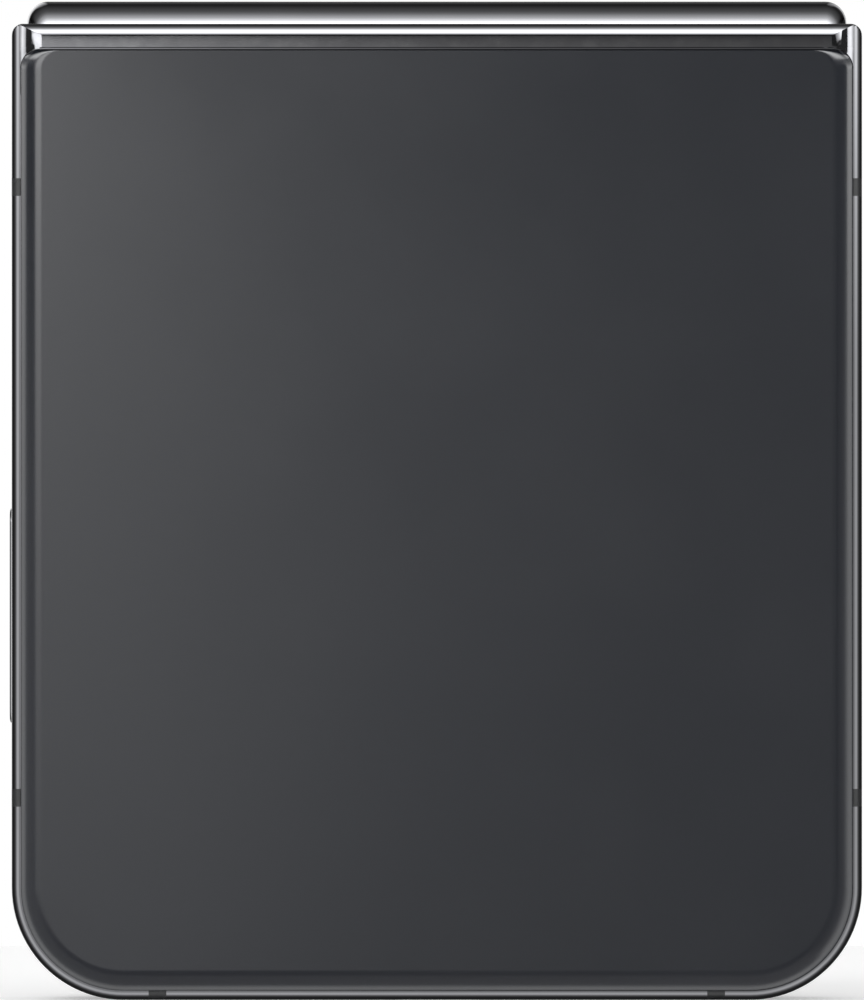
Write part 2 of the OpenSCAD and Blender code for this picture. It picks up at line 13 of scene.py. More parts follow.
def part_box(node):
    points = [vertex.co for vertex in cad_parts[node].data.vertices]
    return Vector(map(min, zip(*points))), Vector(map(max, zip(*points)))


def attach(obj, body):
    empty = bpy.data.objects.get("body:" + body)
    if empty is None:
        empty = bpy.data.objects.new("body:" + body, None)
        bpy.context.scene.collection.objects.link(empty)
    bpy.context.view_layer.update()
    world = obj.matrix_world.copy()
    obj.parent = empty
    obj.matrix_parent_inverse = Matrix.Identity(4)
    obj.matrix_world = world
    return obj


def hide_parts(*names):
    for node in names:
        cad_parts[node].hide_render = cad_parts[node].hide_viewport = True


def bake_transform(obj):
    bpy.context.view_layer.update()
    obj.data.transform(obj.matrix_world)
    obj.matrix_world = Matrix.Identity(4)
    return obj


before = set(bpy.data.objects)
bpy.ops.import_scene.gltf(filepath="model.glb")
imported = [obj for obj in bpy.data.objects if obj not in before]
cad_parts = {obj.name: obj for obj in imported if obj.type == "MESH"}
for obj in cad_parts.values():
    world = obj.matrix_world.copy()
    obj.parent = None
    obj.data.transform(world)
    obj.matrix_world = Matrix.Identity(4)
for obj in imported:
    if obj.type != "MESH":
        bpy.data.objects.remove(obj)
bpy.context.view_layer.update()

bl_info = {
    "name": "Clamshell phone",
    "version": (1, 0, 0),
    "blender": (4, 5, 0),
    "location": "View3D > Sidebar > Phone",
    "description": "Builds the visible pieces, finishes and studio of a folding phone round its CAD frame",
    "category": "Object",
}

MM = 0.001
LOWER, UPPER = -1, 1          # the half nearest the camera stands at -Y, the other at +Y
BODY = {LOWER: "lower_half", UPPER: "upper_half"}


def low(node):
    """The least corner of a CAD node's box."""
    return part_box(node)[0]


def high(node):
    """The greatest corner of a CAD node's box."""
    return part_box(node)[1]


# ---------------------------------------------------------------- settings


def length(name, description, value):
    """A setting in metres."""
    return FloatProperty(name=name, description=description, default=value, min=0.0,
                         unit="LENGTH", precision=5)


def colour(name, description, value):
    """A setting that is a colour."""
    return FloatVectorProperty(name=name, description=description, default=value, subtype="COLOR",
                               size=3, min=0.0, max=1.0)


def amount(name, description, value, top):
    """A setting that is a plain strength from 0 to top."""
    return FloatProperty(name=name, description=description, default=value, min=0.0, max=top)


class PhoneSizes(PropertyGroup):
    """Sizes of the case. What the CAD frame fixes is read from it."""

    half_width: length("Half width", "Middle plane to the flat side of the frame", high("lower_frame").x)
    half_length: length("Half length", "Free edge to hinge edge of one half", high("lower_frame").z)
    inner_face: length("Inner face", "Middle plane to the inner face of a half", -high("lower_frame").y)
    back: length("Back", "Middle plane to the flat of the rear glass", -low("rear_glass").y)
    glass_bed: length("Glass bed", "Middle plane to the underside of the glass", -high("rear_glass").y)
    glass_step: length("Glass step", "Middle plane to the step under the gap line", 7.7 * MM)
    glass_end: length("Glass end", "Free edge to the hinge end of the glass", high("rear_glass").z)
    window_end: length("Window end", "Free edge to the upper end of the dark window", high("cover_window").z)
    corner_radius: length("Corner radius", "Radius of the free corners", 9.5 * MM)
    panel_radius: length("Panel radius", "Radius of the glass corners beside the hinge", 1.6 * MM)
    hinge_radius: length("Hinge corner", "Radius of the frame corners beside the hinge", 1.0 * MM)
    edge_width: length("Edge width", "Width of the curved edge round the back", 2.6 * MM)
    flat_low: length("Flat side, low", "Middle plane to the start of the flat side", 1.9 * MM)
    flat_high: length("Flat side, high", "Middle plane to the end of the flat side", 6.3 * MM)
    inner_ease: length("Inner ease", "Width of the rounding at the inner face", 0.45 * MM)
    rail_width: length("Rail width", "Thickness of the side walls", 1.5 * MM)
    seat_drop: length("Seat drop", "Depth of the glass seat below the back", 0.95 * MM)
    frame_drop: length("Frame drop", "How far the frame lies below the glass", 0.1 * MM)
    glass_gap: length("Glass gap", "Gap between frame and glass", 0.04 * MM)
    gap_line: length("Gap line", "Width of the gap that shows round the glass", 0.10 * MM)
    glass_break: length("Glass break", "Small rounding of the glass where it is cut straight", 0.12 * MM)
    bar_width: length("Bar width", "Width of the bar at the hinge edge", 2.05 * MM)
    lip_radius: length("Lip radius", "Rounding of the bar at the hinge edge", 1.05 * MM)
    band_width: length("Band width", "Width of an antenna band", 1.5 * MM)
    band_depth: length("Band depth", "Depth of an antenna band", 1.0 * MM)
    spine_radius: length("Spine radius", "Outer radius of the spine cover", 3.4 * MM)
    spine_end: length("Spine end", "Rounding of the spine ends", 1.8 * MM)
    spine_wall: length("Spine wall", "Wall of the spine cover", 0.6 * MM)
    cavity_gap: length("Cavity gap", "Gap between each end of the spine and its cavity", 0.15 * MM)
    axis_offset: length("Axis offset", "Middle plane to each turning axis", 1.5 * MM)


class PhoneColours(PropertyGroup):
    """Colours of the finishes."""

    metal: colour("Metal", "Polished dark frame, spine and keys", (0.27, 0.272, 0.285))
    metal_worn: colour("Worn metal", "Rubbed edges of the frame", (0.42, 0.42, 0.43))
    glass: colour("Rear glass", "Satin grey glass", (0.0205, 0.0235, 0.031))
    band: colour("Antenna band", "Plastic bands in the frame", (0.035, 0.036, 0.038))
    black: colour("Black", "Dark window, bezels and seals", (0.006, 0.006, 0.007))
    steel: colour("Steel", "Stamped inner steel", (0.52, 0.52, 0.53))
    bronze: colour("Bronze", "Sintered hinge metal", (0.30, 0.27, 0.22))
    board: colour("Board", "Solder mask of the boards", (0.010, 0.055, 0.028))
    cell: colour("Cell", "Battery wrap and ferrite", (0.022, 0.023, 0.026))
    copper: colour("Copper", "Coil and flat cables", (0.62, 0.27, 0.13))
    flash: colour("Flash", "Flash window", (0.85, 0.80, 0.62))


class StudioSettings(PropertyGroup):
    """Strengths of the studio lights."""

    key: amount("Key", "Large light at the upper left of the camera, in watts", 1.0, 50.0)
    fill: amount("Fill", "Softer light at the right of the camera, in watts", 0.4, 50.0)
    room: amount("Room", "Even light from all round", 0.55, 5.0)


def sizes():
    """The sizes set in the panel."""
    return bpy.context.scene.phone_sizes


def colours():
    """The colours set in the panel."""
    return bpy.context.scene.phone_colours


# ---------------------------------------------------------------- shared effects

ALONG_X = (0.04, 1, 1)            # noise stretched into streaks along X
FEW_OCTAVES, MARK_OCTAVES, WEAR_OCTAVES = 2.0, 4.0, 5.0
MIDDLE_NOISE = (0.35, 0.65)       # the part of the noise's range that carries a slow change
HIGH_NOISE = (0.4, 0.75)          # where handling marks begin and are full
WEAR_NOISE = (0.45, 0.7)          # where wear breaks off and is full
CONVEX = (0.56, 0.66)             # pointiness of an outer edge, from its start to its crest
WEAR_SCALE = 700.0


def effect(name, inputs, outputs):
    """A shader node group with these float or colour sockets, and its two end nodes."""
    tree = bpy.data.node_groups.new(name, "ShaderNodeTree")
    for label, kind, value in inputs:
        socket = tree.interface.new_socket(label, in_out="INPUT", socket_type=kind)
        socket.default_value = value
    for label, kind in outputs:
        tree.interface.new_socket(label, in_out="OUTPUT", socket_type=kind)
    return tree, tree.nodes.new("NodeGroupInput"), tree.nodes.new("NodeGroupOutput")


def noise(tree, scale, detail=3.0, stretch=(1, 1, 1)):
    """Noise over the object's own coordinates, drawn out along an axis where stretch is small."""
    place = tree.nodes.new("ShaderNodeTexCoord")
    mapping = tree.nodes.new("ShaderNodeMapping")
    mapping.inputs["Scale"].default_value = stretch
    field = tree.nodes.new("ShaderNodeTexNoise")
    field.inputs["Detail"].default_value = detail
    tree.links.new(place.outputs["Object"], mapping.inputs["Vector"])
    tree.links.new(mapping.outputs["Vector"], field.inputs["Vector"])
    if isinstance(scale, bpy.types.NodeSocket):
        tree.links.new(scale, field.inputs["Scale"])
    else:
        field.inputs["Scale"].default_value = scale
    return field.outputs["Fac"]


def spread(tree, value, start, full, to_start, to_full):
    """Maps start..full of a value to to_start..to_full, held at the ends; the last two may be sockets."""
    node = tree.nodes.new("ShaderNodeMapRange")
    tree.links.new(value, node.inputs["Value"])
    node.inputs["From Min"].default_value = start
    node.inputs["From Max"].default_value = full
    for label, end in (("To Min", to_start), ("To Max", to_full)):
        if isinstance(end, bpy.types.NodeSocket):
            tree.links.new(end, node.inputs[label])
        else:
            node.inputs[label].default_value = end
    return node.outputs["Result"]


def blend_colours(tree, share, first, second):
    """Goes from the first colour to the second as share grows; the second may be a socket."""
    node = tree.nodes.new("ShaderNodeMix")
    node.data_type = "RGBA"
    tree.links.new(share, node.inputs["Factor"])
    tree.links.new(first, node.inputs["A"])
    if isinstance(second, bpy.types.NodeSocket):
        tree.links.new(second, node.inputs["B"])
    else:
        node.inputs["B"].default_value = second
    return node.outputs["Result"]


def make_tone_drift():
    """Colour that drifts between two close tones."""
    grey = (0.5, 0.5, 0.5, 1)
    tree, start, end = effect(
        "tone_drift",
        [("First", "NodeSocketColor", grey), ("Second", "NodeSocketColor", grey),
         ("Scale", "NodeSocketFloat", 60.0)],
        [("Colour", "NodeSocketColor")])
    share = spread(tree, noise(tree, start.outputs["Scale"]), *MIDDLE_NOISE, 0.0, 1.0)
    tree.links.new(blend_colours(tree, share, start.outputs["First"], start.outputs["Second"]),
                   end.inputs["Colour"])
    return tree


def make_smudges():
    """Roughness that rises in faint handling marks."""
    tree, start, end = effect(
        "handling_smudges",
        [("Clean", "NodeSocketFloat", 0.1), ("Smudged", "NodeSocketFloat", 0.2),
         ("Scale", "NodeSocketFloat", 90.0)],
        [("Roughness", "NodeSocketFloat")])
    tree.links.new(spread(tree, noise(tree, start.outputs["Scale"], MARK_OCTAVES), *HIGH_NOISE,
                          start.outputs["Clean"], start.outputs["Smudged"]), end.inputs["Roughness"])
    return tree


def make_grain():
    """Fine height grain of moulded, blasted or sintered surfaces."""
    tree, start, end = effect("fine_grain", [("Scale", "NodeSocketFloat", 6000.0)],
                              [("Height", "NodeSocketFloat")])
    tree.links.new(noise(tree, start.outputs["Scale"], FEW_OCTAVES), end.inputs["Height"])
    return tree


def make_brushing():
    """Height streaks along the length of a rolled or brushed part."""
    tree, start, end = effect("brushed_streaks", [("Scale", "NodeSocketFloat", 3000.0)],
                              [("Height", "NodeSocketFloat")])
    tree.links.new(noise(tree, start.outputs["Scale"], FEW_OCTAVES, ALONG_X), end.inputs["Height"])
    return tree


def make_edge_wear():
    """Mask that is 1 on rubbed outer edges, broken up by noise."""
    tree, start, end = effect("edge_wear", [("Amount", "NodeSocketFloat", 0.5)],
                              [("Mask", "NodeSocketFloat")])
    shape = tree.nodes.new("ShaderNodeNewGeometry")
    edges = spread(tree, shape.outputs["Pointiness"], *CONVEX, 0.0, 1.0)
    broken = spread(tree, noise(tree, WEAR_SCALE, WEAR_OCTAVES), *WEAR_NOISE, 0.0, start.outputs["Amount"])
    product = tree.nodes.new("ShaderNodeMath")
    product.operation = "MULTIPLY"
    tree.links.new(edges, product.inputs[0])
    tree.links.new(broken, product.inputs[1])
    tree.links.new(product.outputs[0], end.inputs["Mask"])
    return tree


EFFECTS = {"drift": make_tone_drift, "smudges": make_smudges, "grain": make_grain, "brushing": make_brushing,
           "wear": make_edge_wear}
made_effects = {}


def place_effect(tree, kind, **values):
    """The node group of this kind, built at its first use, placed in a material's tree."""
    if kind not in made_effects:
        made_effects[kind] = EFFECTS[kind]()
    node = tree.nodes.new("ShaderNodeGroup")
    node.node_tree = made_effects[kind]
    for label, value in values.items():
        node.inputs[label].default_value = value
    return node.outputs[0]


# ---------------------------------------------------------------- materials

RELIEF_DEPTH = 0.02 * MM          # depth of grain and brushing at full strength


def opaque(rgb):
    """A colour with full alpha."""
    return (*rgb, 1.0)


def shaded(rgb, share):
    """A colour made lighter or darker, with full alpha."""
    return opaque([c * share for c in rgb])


def finish(name, tone, rough, drift, relief, grain=None, brushing=None, metallic=0.0, drift_scale=60.0,
           smudge_scale=90.0, worn=None, wear=0.0, coat=0.0, specular=0.5):
    """A Principled material with drifting tone, handling smudges and a fine relief, grained or brushed.

    rough is the roughness where clean and where smudged, drift the part by which the tone changes, and
    grain, brushing and the scales count how fine a pattern is over a metre.
    """
    material = bpy.data.materials.new(name)
    material.use_nodes = True
    tree = material.node_tree
    shader = tree.nodes["Principled BSDF"]
    shader.inputs["Metallic"].default_value = metallic
    shader.inputs["Coat Weight"].default_value = coat
    shader.inputs["Specular IOR Level"].default_value = specular
    base = place_effect(tree, "drift", First=shaded(tone, 1 + drift / 2), Second=shaded(tone, 1 - drift / 2),
                        Scale=drift_scale)
    if wear:
        base = blend_colours(tree, place_effect(tree, "wear", Amount=wear), base, opaque(worn))
    tree.links.new(base, shader.inputs["Base Color"])
    tree.links.new(place_effect(tree, "smudges", Clean=rough[0], Smudged=rough[1], Scale=smudge_scale),
                   shader.inputs["Roughness"])
    bump = tree.nodes.new("ShaderNodeBump")
    bump.inputs["Strength"].default_value = relief
    bump.inputs["Distance"].default_value = RELIEF_DEPTH
    kind = "grain" if grain else "brushing"
    tree.links.new(place_effect(tree, kind, Scale=grain or brushing), bump.inputs["Height"])
    tree.links.new(bump.outputs["Normal"], shader.inputs["Normal"])
    return material


def make_finishes():
    """Every finish of the phone, by a short key."""
    tone = colours()
    rubbed = {"worn": tone.metal_worn}
    return {
        "metal": finish("polished_dark_metal", tone.metal, metallic=1.0, rough=(0.05, 0.10), drift=0.06,
                        wear=0.35, grain=9000.0, relief=0.008, **rubbed),
        "spine": finish("polished_spine_metal", tone.metal, metallic=1.0, rough=(0.09, 0.15), drift=0.06,
                        wear=0.3, brushing=5000.0, relief=0.01, **rubbed),
        "glass": finish("satin_grey_glass", tone.glass, rough=(0.15, 0.19), drift=0.05, drift_scale=25.0,
                        smudge_scale=60.0, grain=14000.0, relief=0.02, specular=1.0),
        "window": finish("black_window_glass", tone.black, rough=(0.03, 0.10), drift=0.2, drift_scale=40.0,
                         smudge_scale=70.0, grain=12000.0, relief=0.01),
        "band": finish("antenna_plastic", tone.band, rough=(0.22, 0.32), drift=0.15,
                       grain=7000.0, relief=0.08),
        "bezel": finish("soft_black_bezel", tone.black, rough=(0.45, 0.6), drift=0.3,
                        grain=8000.0, relief=0.3),
        "display": finish("folding_display", tone.black, rough=(0.05, 0.12), drift=0.2, drift_scale=30.0,
                          smudge_scale=60.0, coat=0.4, grain=9000.0, relief=0.01),
        "steel": finish("stamped_steel", tone.steel, metallic=1.0, rough=(0.25, 0.4), drift=0.15,
                        wear=0.3, brushing=4000.0, relief=0.25, **rubbed),
        "bronze": finish("sintered_bronze", tone.bronze, metallic=1.0, rough=(0.3, 0.45), drift=0.25,
                         grain=5000.0, relief=0.4),
        "board": finish("solder_mask", tone.board, rough=(0.25, 0.4), drift=0.3, drift_scale=300.0,
                        grain=4000.0, relief=0.3),
        "cell": finish("foil_wrap", tone.cell, rough=(0.35, 0.5), drift=0.3, drift_scale=120.0,
                       grain=3000.0, relief=0.4),
        "copper": finish("copper_track", tone.copper, metallic=1.0, rough=(0.25, 0.4), drift=0.2,
                         brushing=3000.0, relief=0.2),
        "moulding": finish("moulded_black", tone.black, rough=(0.35, 0.5), drift=0.3,
                           grain=6000.0, relief=0.4),
        "flash": finish("flash_diffuser", tone.flash, rough=(0.12, 0.2), drift=0.1, drift_scale=400.0,
                        grain=2500.0, relief=0.5),
        "lens": finish("coated_lens", tone.black, rough=(0.02, 0.05), drift=0.3, drift_scale=500.0,
                       coat=0.6, grain=12000.0, relief=0.01),
        "mesh": finish("woven_acoustic_mesh", tone.steel, metallic=1.0, rough=(0.4, 0.55), drift=0.3,
                       drift_scale=900.0, grain=2800.0, relief=0.9),
    }


# What each CAD node that keeps its own shape is made of
CARRIED = {
    "metal": ["side_key", "card_tray"],
    "bezel": ["rear_glass_seal", "upper_glass_seal", "lower_bezel", "upper_bezel"],
    "display": ["lower_display", "upper_display", "cover_screen"],
    "steel": ["lower_midplate", "upper_midplate", "lower_wing_left", "lower_wing_right", "upper_wings",
              "lower_screws", "upper_screws_and_magnets", "lower_magnets", "shield_cans", "card_holder",
              "friction_collars", "usb_socket", "lower_gear_shafts", "lower_idler_gears", "upper_idler_gears",
              "upper_gear_shafts"],
    "bronze": ["hinge_housing_left", "hinge_housing_right"],
    "board": ["charging_board", "main_board"],
    "cell": ["lower_battery", "upper_battery", "coil_ferrite"],
    "copper": ["charging_coil", "lower_flex"],
    "moulding": ["loudspeaker", "vibration_motor", "lower_microphone", "main_camera", "wide_camera",
                 "earpiece", "side_key_switch", "volume_switches", "spine_end_caps"],
    "mesh": ["loudspeaker_mesh"],
    "lens": ["front_camera"],
}


# ---------------------------------------------------------------- mesh tools

SHARP_FROM = 30.0                 # degrees between faces from which a crease stays sharp
SAME_POINT = 1e-7                 # points closer than this, in metres, are one


def shown(name, data):
    """A new object in the scene."""
    thing = bpy.data.objects.new(name, data)
    bpy.context.scene.collection.objects.link(thing)
    return thing


def stand(side, x, along, out):
    """A point of a half drawn flat (x, along it from the free edge, outwards) in its standing place."""
    return Vector((x, side * out, along))


def piece(name, points, faces, material, crease=SHARP_FROM):
    """A closed mesh object with smooth shading up to the crease angle."""
    mesh = bpy.data.meshes.new(name)
    mesh.from_pydata([tuple(p) for p in points], [], faces)
    shell = bmesh.new()
    shell.from_mesh(mesh)
    bmesh.ops.remove_doubles(shell, verts=shell.verts, dist=SAME_POINT)
    bmesh.ops.recalc_face_normals(shell, faces=shell.faces)
    shell.to_mesh(mesh)
    shell.free()
    thing = shown(name, mesh)
    mesh.materials.append(material)
    smooth(thing, crease)
    return thing


def smooth(thing, crease=SHARP_FROM):
    """Smooth shading up to the crease angle."""
    thing.data.polygons.foreach_set("use_smooth", [True] * len(thing.data.polygons))
    thing.data.set_sharp_from_angle(angle=math.radians(crease))


def even_normals(thing):
    """Keeps flats flat beside fine curves."""
    weighted = thing.modifiers.new("even_normals", "WEIGHTED_NORMAL")
    weighted.keep_sharp = True
    return thing


def loft(rings, cap=True):
    """Points and faces that join closed rings of equal length, capped at both ends unless told not to."""
    count = len(rings[0])
    points = [p for ring in rings for p in ring]
    faces = []
    for r in range(len(rings) - 1):
        for k in range(count):
            a, b = r * count + k, r * count + (k + 1) % count
            faces.append((a, b, b + count, a + count))
    if cap:
        faces.append(tuple(range(count)))
        faces.append(tuple(range((len(rings) - 1) * count, len(rings) * count)))
    return points, faces


def cut(thing, cutter):
    """Takes cutter's volume out of thing and deletes cutter."""
    change = thing.modifiers.new("cut", "BOOLEAN")
    change.operation = "DIFFERENCE"
    change.solver = "EXACT"
    change.object = cutter
    bpy.context.view_layer.update()
    shape = bpy.data.meshes.new_from_object(thing.evaluated_get(bpy.context.evaluated_depsgraph_get()))
    thing.modifiers.clear()
    thing.data = shape
    bpy.data.objects.remove(cutter)


def arc(first, last, count):
    """count + 1 angles in radians from first to last, given in degrees."""
    return [math.radians(first + (last - first) * k / count) for k in range(count + 1)]


def carry(thing, body, node):
    """Rides thing on its body, in place of this CAD node."""
    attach(thing, body)
    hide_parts(node)


# ---------------------------------------------------------------- outlines and sections

BAND_ALONG = [17.1 * MM, 68.7 * MM]      # antenna bands in the long walls
BAND_ACROSS = 23.6 * MM                  # and to both sides of the middle in the free edge
SIDE_OUT = 4.8 * MM                      # middle of the flat side, where holes and keys sit
THROUGH_EDGE = (-1 * MM, 2 * MM)         # how far a cutter runs through the free edge
HALFWAY = 45                             # degrees of the edge's curve where the glass begins
EDGE_STEPS = 15                          # faces over each part of that curve
TURN_STEPS = 24                          # faces round a corner of the phone or a small hole
PANEL_STEPS = 20                         # faces round a corner of the glass
SPINE_STEPS = 22                         # faces over each half of the spine's section
ROUND_STEPS = 8                          # faces over a small rounding
NEARLY_ZERO = 1e-6                       # keeps a division away from zero
HINGE_WALL = (76.5 * MM, 77.1 * MM)      # the wall between the battery room and the hinge room, along a half
BACK_ROOM = 5.1 * MM                     # middle plane to the underside of the bar at the hinge edge


def edge_curve(size, top, first, last, count):
    """Points (inwards, outwards) along the curved edge of the back, by angles in degrees."""
    return [(size.edge_width * (1 - math.cos(t)), size.flat_high + (top - size.flat_high) * math.sin(t))
            for t in arc(first, last, count)]


def metal_top(size):
    """Middle plane to the flat of the metal, a little below the glass."""
    return size.back - size.frame_drop


def glass_seat(size):
    """Middle plane to the seat under the rim of the glass."""
    return size.back - size.seat_drop


def metal_edge(size):
    """How far in from the side the metal ends and the glass begins."""
    return edge_curve(size, size.back, HALFWAY, HALFWAY, 1)[0][0]


def rail_section(size):
    """Section of the side wall, (inwards, outwards), once round."""
    ease, rise = size.inner_ease, size.flat_low - size.inner_face
    section = [(size.rail_width, size.inner_face)]
    section += [(ease * (1 - math.sin(t)), size.flat_low - rise * math.cos(t))
                for t in arc(0, 90, ROUND_STEPS)]
    section += edge_curve(size, metal_top(size), 0, HALFWAY, EDGE_STEPS)
    section += [(metal_edge(size), glass_seat(size)), (size.rail_width, glass_seat(size))]
    return section


def hinge_end(size, along):
    """How far in and out the wall reaches at this distance from the free edge, near the hinge."""
    r, lip = size.hinge_radius, size.lip_radius
    reach, top = 0.0, size.back
    past = along - (size.half_length - r)
    if past > 0:
        reach = r - math.sqrt(max(r * r - past * past, 0.0))
    past = along - (size.half_length - lip)
    if past > 0:
        top = metal_top(size) - lip + math.sqrt(max(lip * lip - past * past, 0.0))
    return reach, top


def rail_stops(size):
    """Stops along the U of the wall: (point, outward normal, whether inside a band's slot)."""
    half, r, long = size.half_width, size.corner_radius, size.half_length
    slots = [(c - size.band_width / 2, c + size.band_width / 2) for c in BAND_ALONG]
    marks = [(r, False)]
    for a, b in slots:
        marks += [(a, False), (a, True), (b, True), (b, False)]
    marks += [(long - size.hinge_radius * (1 - math.sin(t)), False) for t in arc(0, 90, ROUND_STEPS)]
    right = [((half, y), (1, 0), inside) for y, inside in reversed(marks)]
    corner = [((half - r + r * math.cos(t), r + r * math.sin(t)), (math.cos(t), math.sin(t)), False)
              for t in arc(0, -90, TURN_STEPS)[1:-1]]
    edge_marks = [(half - r, False)]
    for c in (BAND_ACROSS, -BAND_ACROSS):
        a, b = c + size.band_width / 2, c - size.band_width / 2
        edge_marks += [(a, False), (a, True), (b, True), (b, False)]
    edge_marks += [(r - half, False)]
    bottom = [((x, 0.0), (0, -1), inside) for x, inside in edge_marks]
    mirrored = [((-p[0], p[1]), (-n[0], n[1]), inside) for p, n, inside in reversed(right + corner)]
    return right + corner + bottom + mirrored


def rail_ring(size, side, stop, section):
    """One ring of the wall's mesh."""
    (x, y), (nx, ny), recessed = stop
    reach, top = hinge_end(size, y) if abs(nx) == 1 else (0.0, size.back)
    if recessed:
        reach, top = size.band_depth, glass_seat(size)
    ring = []
    for inwards, outwards in section:
        d = max(inwards, reach)
        ring.append(stand(side, x - nx * d, y - ny * d, min(outwards, top)))
    return ring


def band_rings(size, side, stops, section):
    """The rings of one antenna band between two stops, a hair below the metal."""
    hair = 0.01 * MM
    depths = [(min(max(inwards, hair), size.band_depth), outwards) for inwards, outwards in section]
    return [[stand(side, x - nx * d, y - ny * d, v) for d, v in depths] for (x, y), (nx, ny), _ in stops]


def lip_rings(size, side):
    """Rings across the bar at the hinge edge, from one side to the other."""
    chamfer, micro, half_stops = 0.3 * MM, 0.06 * MM, 8
    wall, foot = HINGE_WALL[0], BACK_ROOM
    start = size.half_length - size.bar_width
    seat, top, long, lip = glass_seat(size), metal_top(size), size.half_length, size.lip_radius
    stops = [(size.half_width - d, v) for d, v in edge_curve(size, top, HALFWAY, 90, EDGE_STEPS)]
    middle = stops[-1][0]
    stops += [(middle * (1 - k / half_stops), top) for k in range(1, half_stops + 1)]
    stops += [(-x, v) for x, v in reversed(stops[:-1])]
    rings = []
    for x, rise in stops:
        last_angle = math.degrees(math.asin(min(1.0, (rise - (top - lip)) / lip)))
        furthest = hinge_limit(size, size.half_width - abs(x))
        ring = [(wall, foot), (long - chamfer, foot), (long, foot + chamfer)]
        ring += [(long - lip + lip * math.cos(t), top - lip + lip * math.sin(t))
                 for t in arc(0, last_angle, 2 * ROUND_STEPS)]
        ring += [(start + micro, rise), (start, rise - micro), (start, seat), (wall, seat)]
        rings.append([stand(side, x, min(z, furthest), v) for z, v in ring])
    return rings


def hinge_limit(size, inset):
    """The end of a half at this inset from its side, drawn in at the hinge corners."""
    r = size.hinge_radius
    if inset >= r:
        return size.half_length
    return size.half_length - r + math.sqrt(r * r - (r - inset) ** 2)


def block(side, low_corner, high_corner):
    """Points and faces of a straight block of a half, given by two corners (across, along, outwards)."""
    (x0, y0, v0), (x1, y1, v1) = low_corner, high_corner
    rings = [[stand(side, x, y0, v0), stand(side, x, y1, v0), stand(side, x, y1, v1), stand(side, x, y0, v1)]
             for x in (x0, x1)]
    return loft(rings)


def circle(radius, steps=TURN_STEPS):
    """Points of a round outline."""
    return [(radius * math.cos(t), radius * math.sin(t)) for t in arc(0, 360, steps)[:-1]]


def stadium(half_length, half_width, steps=TURN_STEPS // 2):
    """Points of a slot's outline, with its length first."""
    reach = half_length - half_width
    return [(shift + half_width * math.cos(t), half_width * math.sin(t))
            for first, shift in ((-90, reach), (90, -reach)) for t in arc(first, first + 180, steps)]


def through_edge(side, x, outline):
    """A cutter with this outline through the free edge at x."""
    return loft([[stand(side, x + a, y, SIDE_OUT + b) for a, b in outline] for y in THROUGH_EDGE])


def through_wall(side, along, outline, reach):
    """A cutter with this outline through a long wall, between two places across the phone."""
    return loft([[stand(side, x, along + a, SIDE_OUT + b) for a, b in outline] for x in reach])


def through_back(side, x, along, outline, reach):
    """A cutter with this outline through a back, between two heights over the middle plane."""
    return loft([[stand(side, x + a, along + b, v) for a, b in outline] for v in reach])


def cut_all(thing, shapes):
    """Cuts several closed shapes out of thing, one after the other."""
    for points, faces in shapes:
        cut(thing, piece("cutter", points, faces, thing.data.materials[0]))


def joined(name, shapes, material):
    """One object from several closed shapes."""
    points, faces = [], []
    for more_points, more_faces in shapes:
        start = len(points)
        points += more_points
        faces += [tuple(k + start for k in face) for face in more_faces]
    return piece(name, points, faces, material)


def add_shapes(thing, shapes):
    """Adds closed shapes to an object's mesh."""
    mesh = bmesh.new()
    mesh.from_mesh(thing.data)
    for points, faces in shapes:
        verts = [mesh.verts.new(p) for p in points]
        for face in faces:
            mesh.faces.new([verts[k] for k in face])
    bmesh.ops.remove_doubles(mesh, verts=mesh.verts, dist=SAME_POINT)
    bmesh.ops.recalc_face_normals(mesh, faces=mesh.faces)
    mesh.to_mesh(thing.data)
    mesh.free()
    smooth(thing)


def panel_ring(size, side, inset, y0, y1, free, out):
    """A ring of a glass panel; its free corners follow the frame."""
    w = size.half_width - inset
    small = size.panel_radius
    big = size.corner_radius - inset if free else small
    ring = []
    for cx, cy, r, first in ((w - big, y0 + big, big, -90), (w - small, y1 - small, small, 0),
                             (small - w, y1 - small, small, 90), (big - w, y0 + big, big, 180)):
        ring += [stand(side, cx + r * math.cos(t), cy + r * math.sin(t), out)
                 for t in arc(first, first + 90, PANEL_STEPS)]
    return ring


def panel_rings(size, side, start, end, free):
    """Rings from the underside of a glass panel round its curved edge to its flat.

    A free edge follows the frame; otherwise the panel begins at start.
    """
    foot, rim = metal_edge(size) + size.glass_gap, metal_edge(size) + size.gap_line
    first = math.degrees(math.acos(1 - rim / size.edge_width))
    rings = [panel_ring(size, side, inset, inset if free else start, end, free, out)
             for inset, out in ((foot, size.glass_bed), (foot, size.glass_step), (rim, size.glass_step))]
    for inset, out in edge_curve(size, size.back, first, 90, EDGE_STEPS - 1):
        broken = min(size.glass_break, inset - rim)
        near = inset if free else start + broken
        rings.append(panel_ring(size, side, inset, near, end - broken, free, out))
    return rings


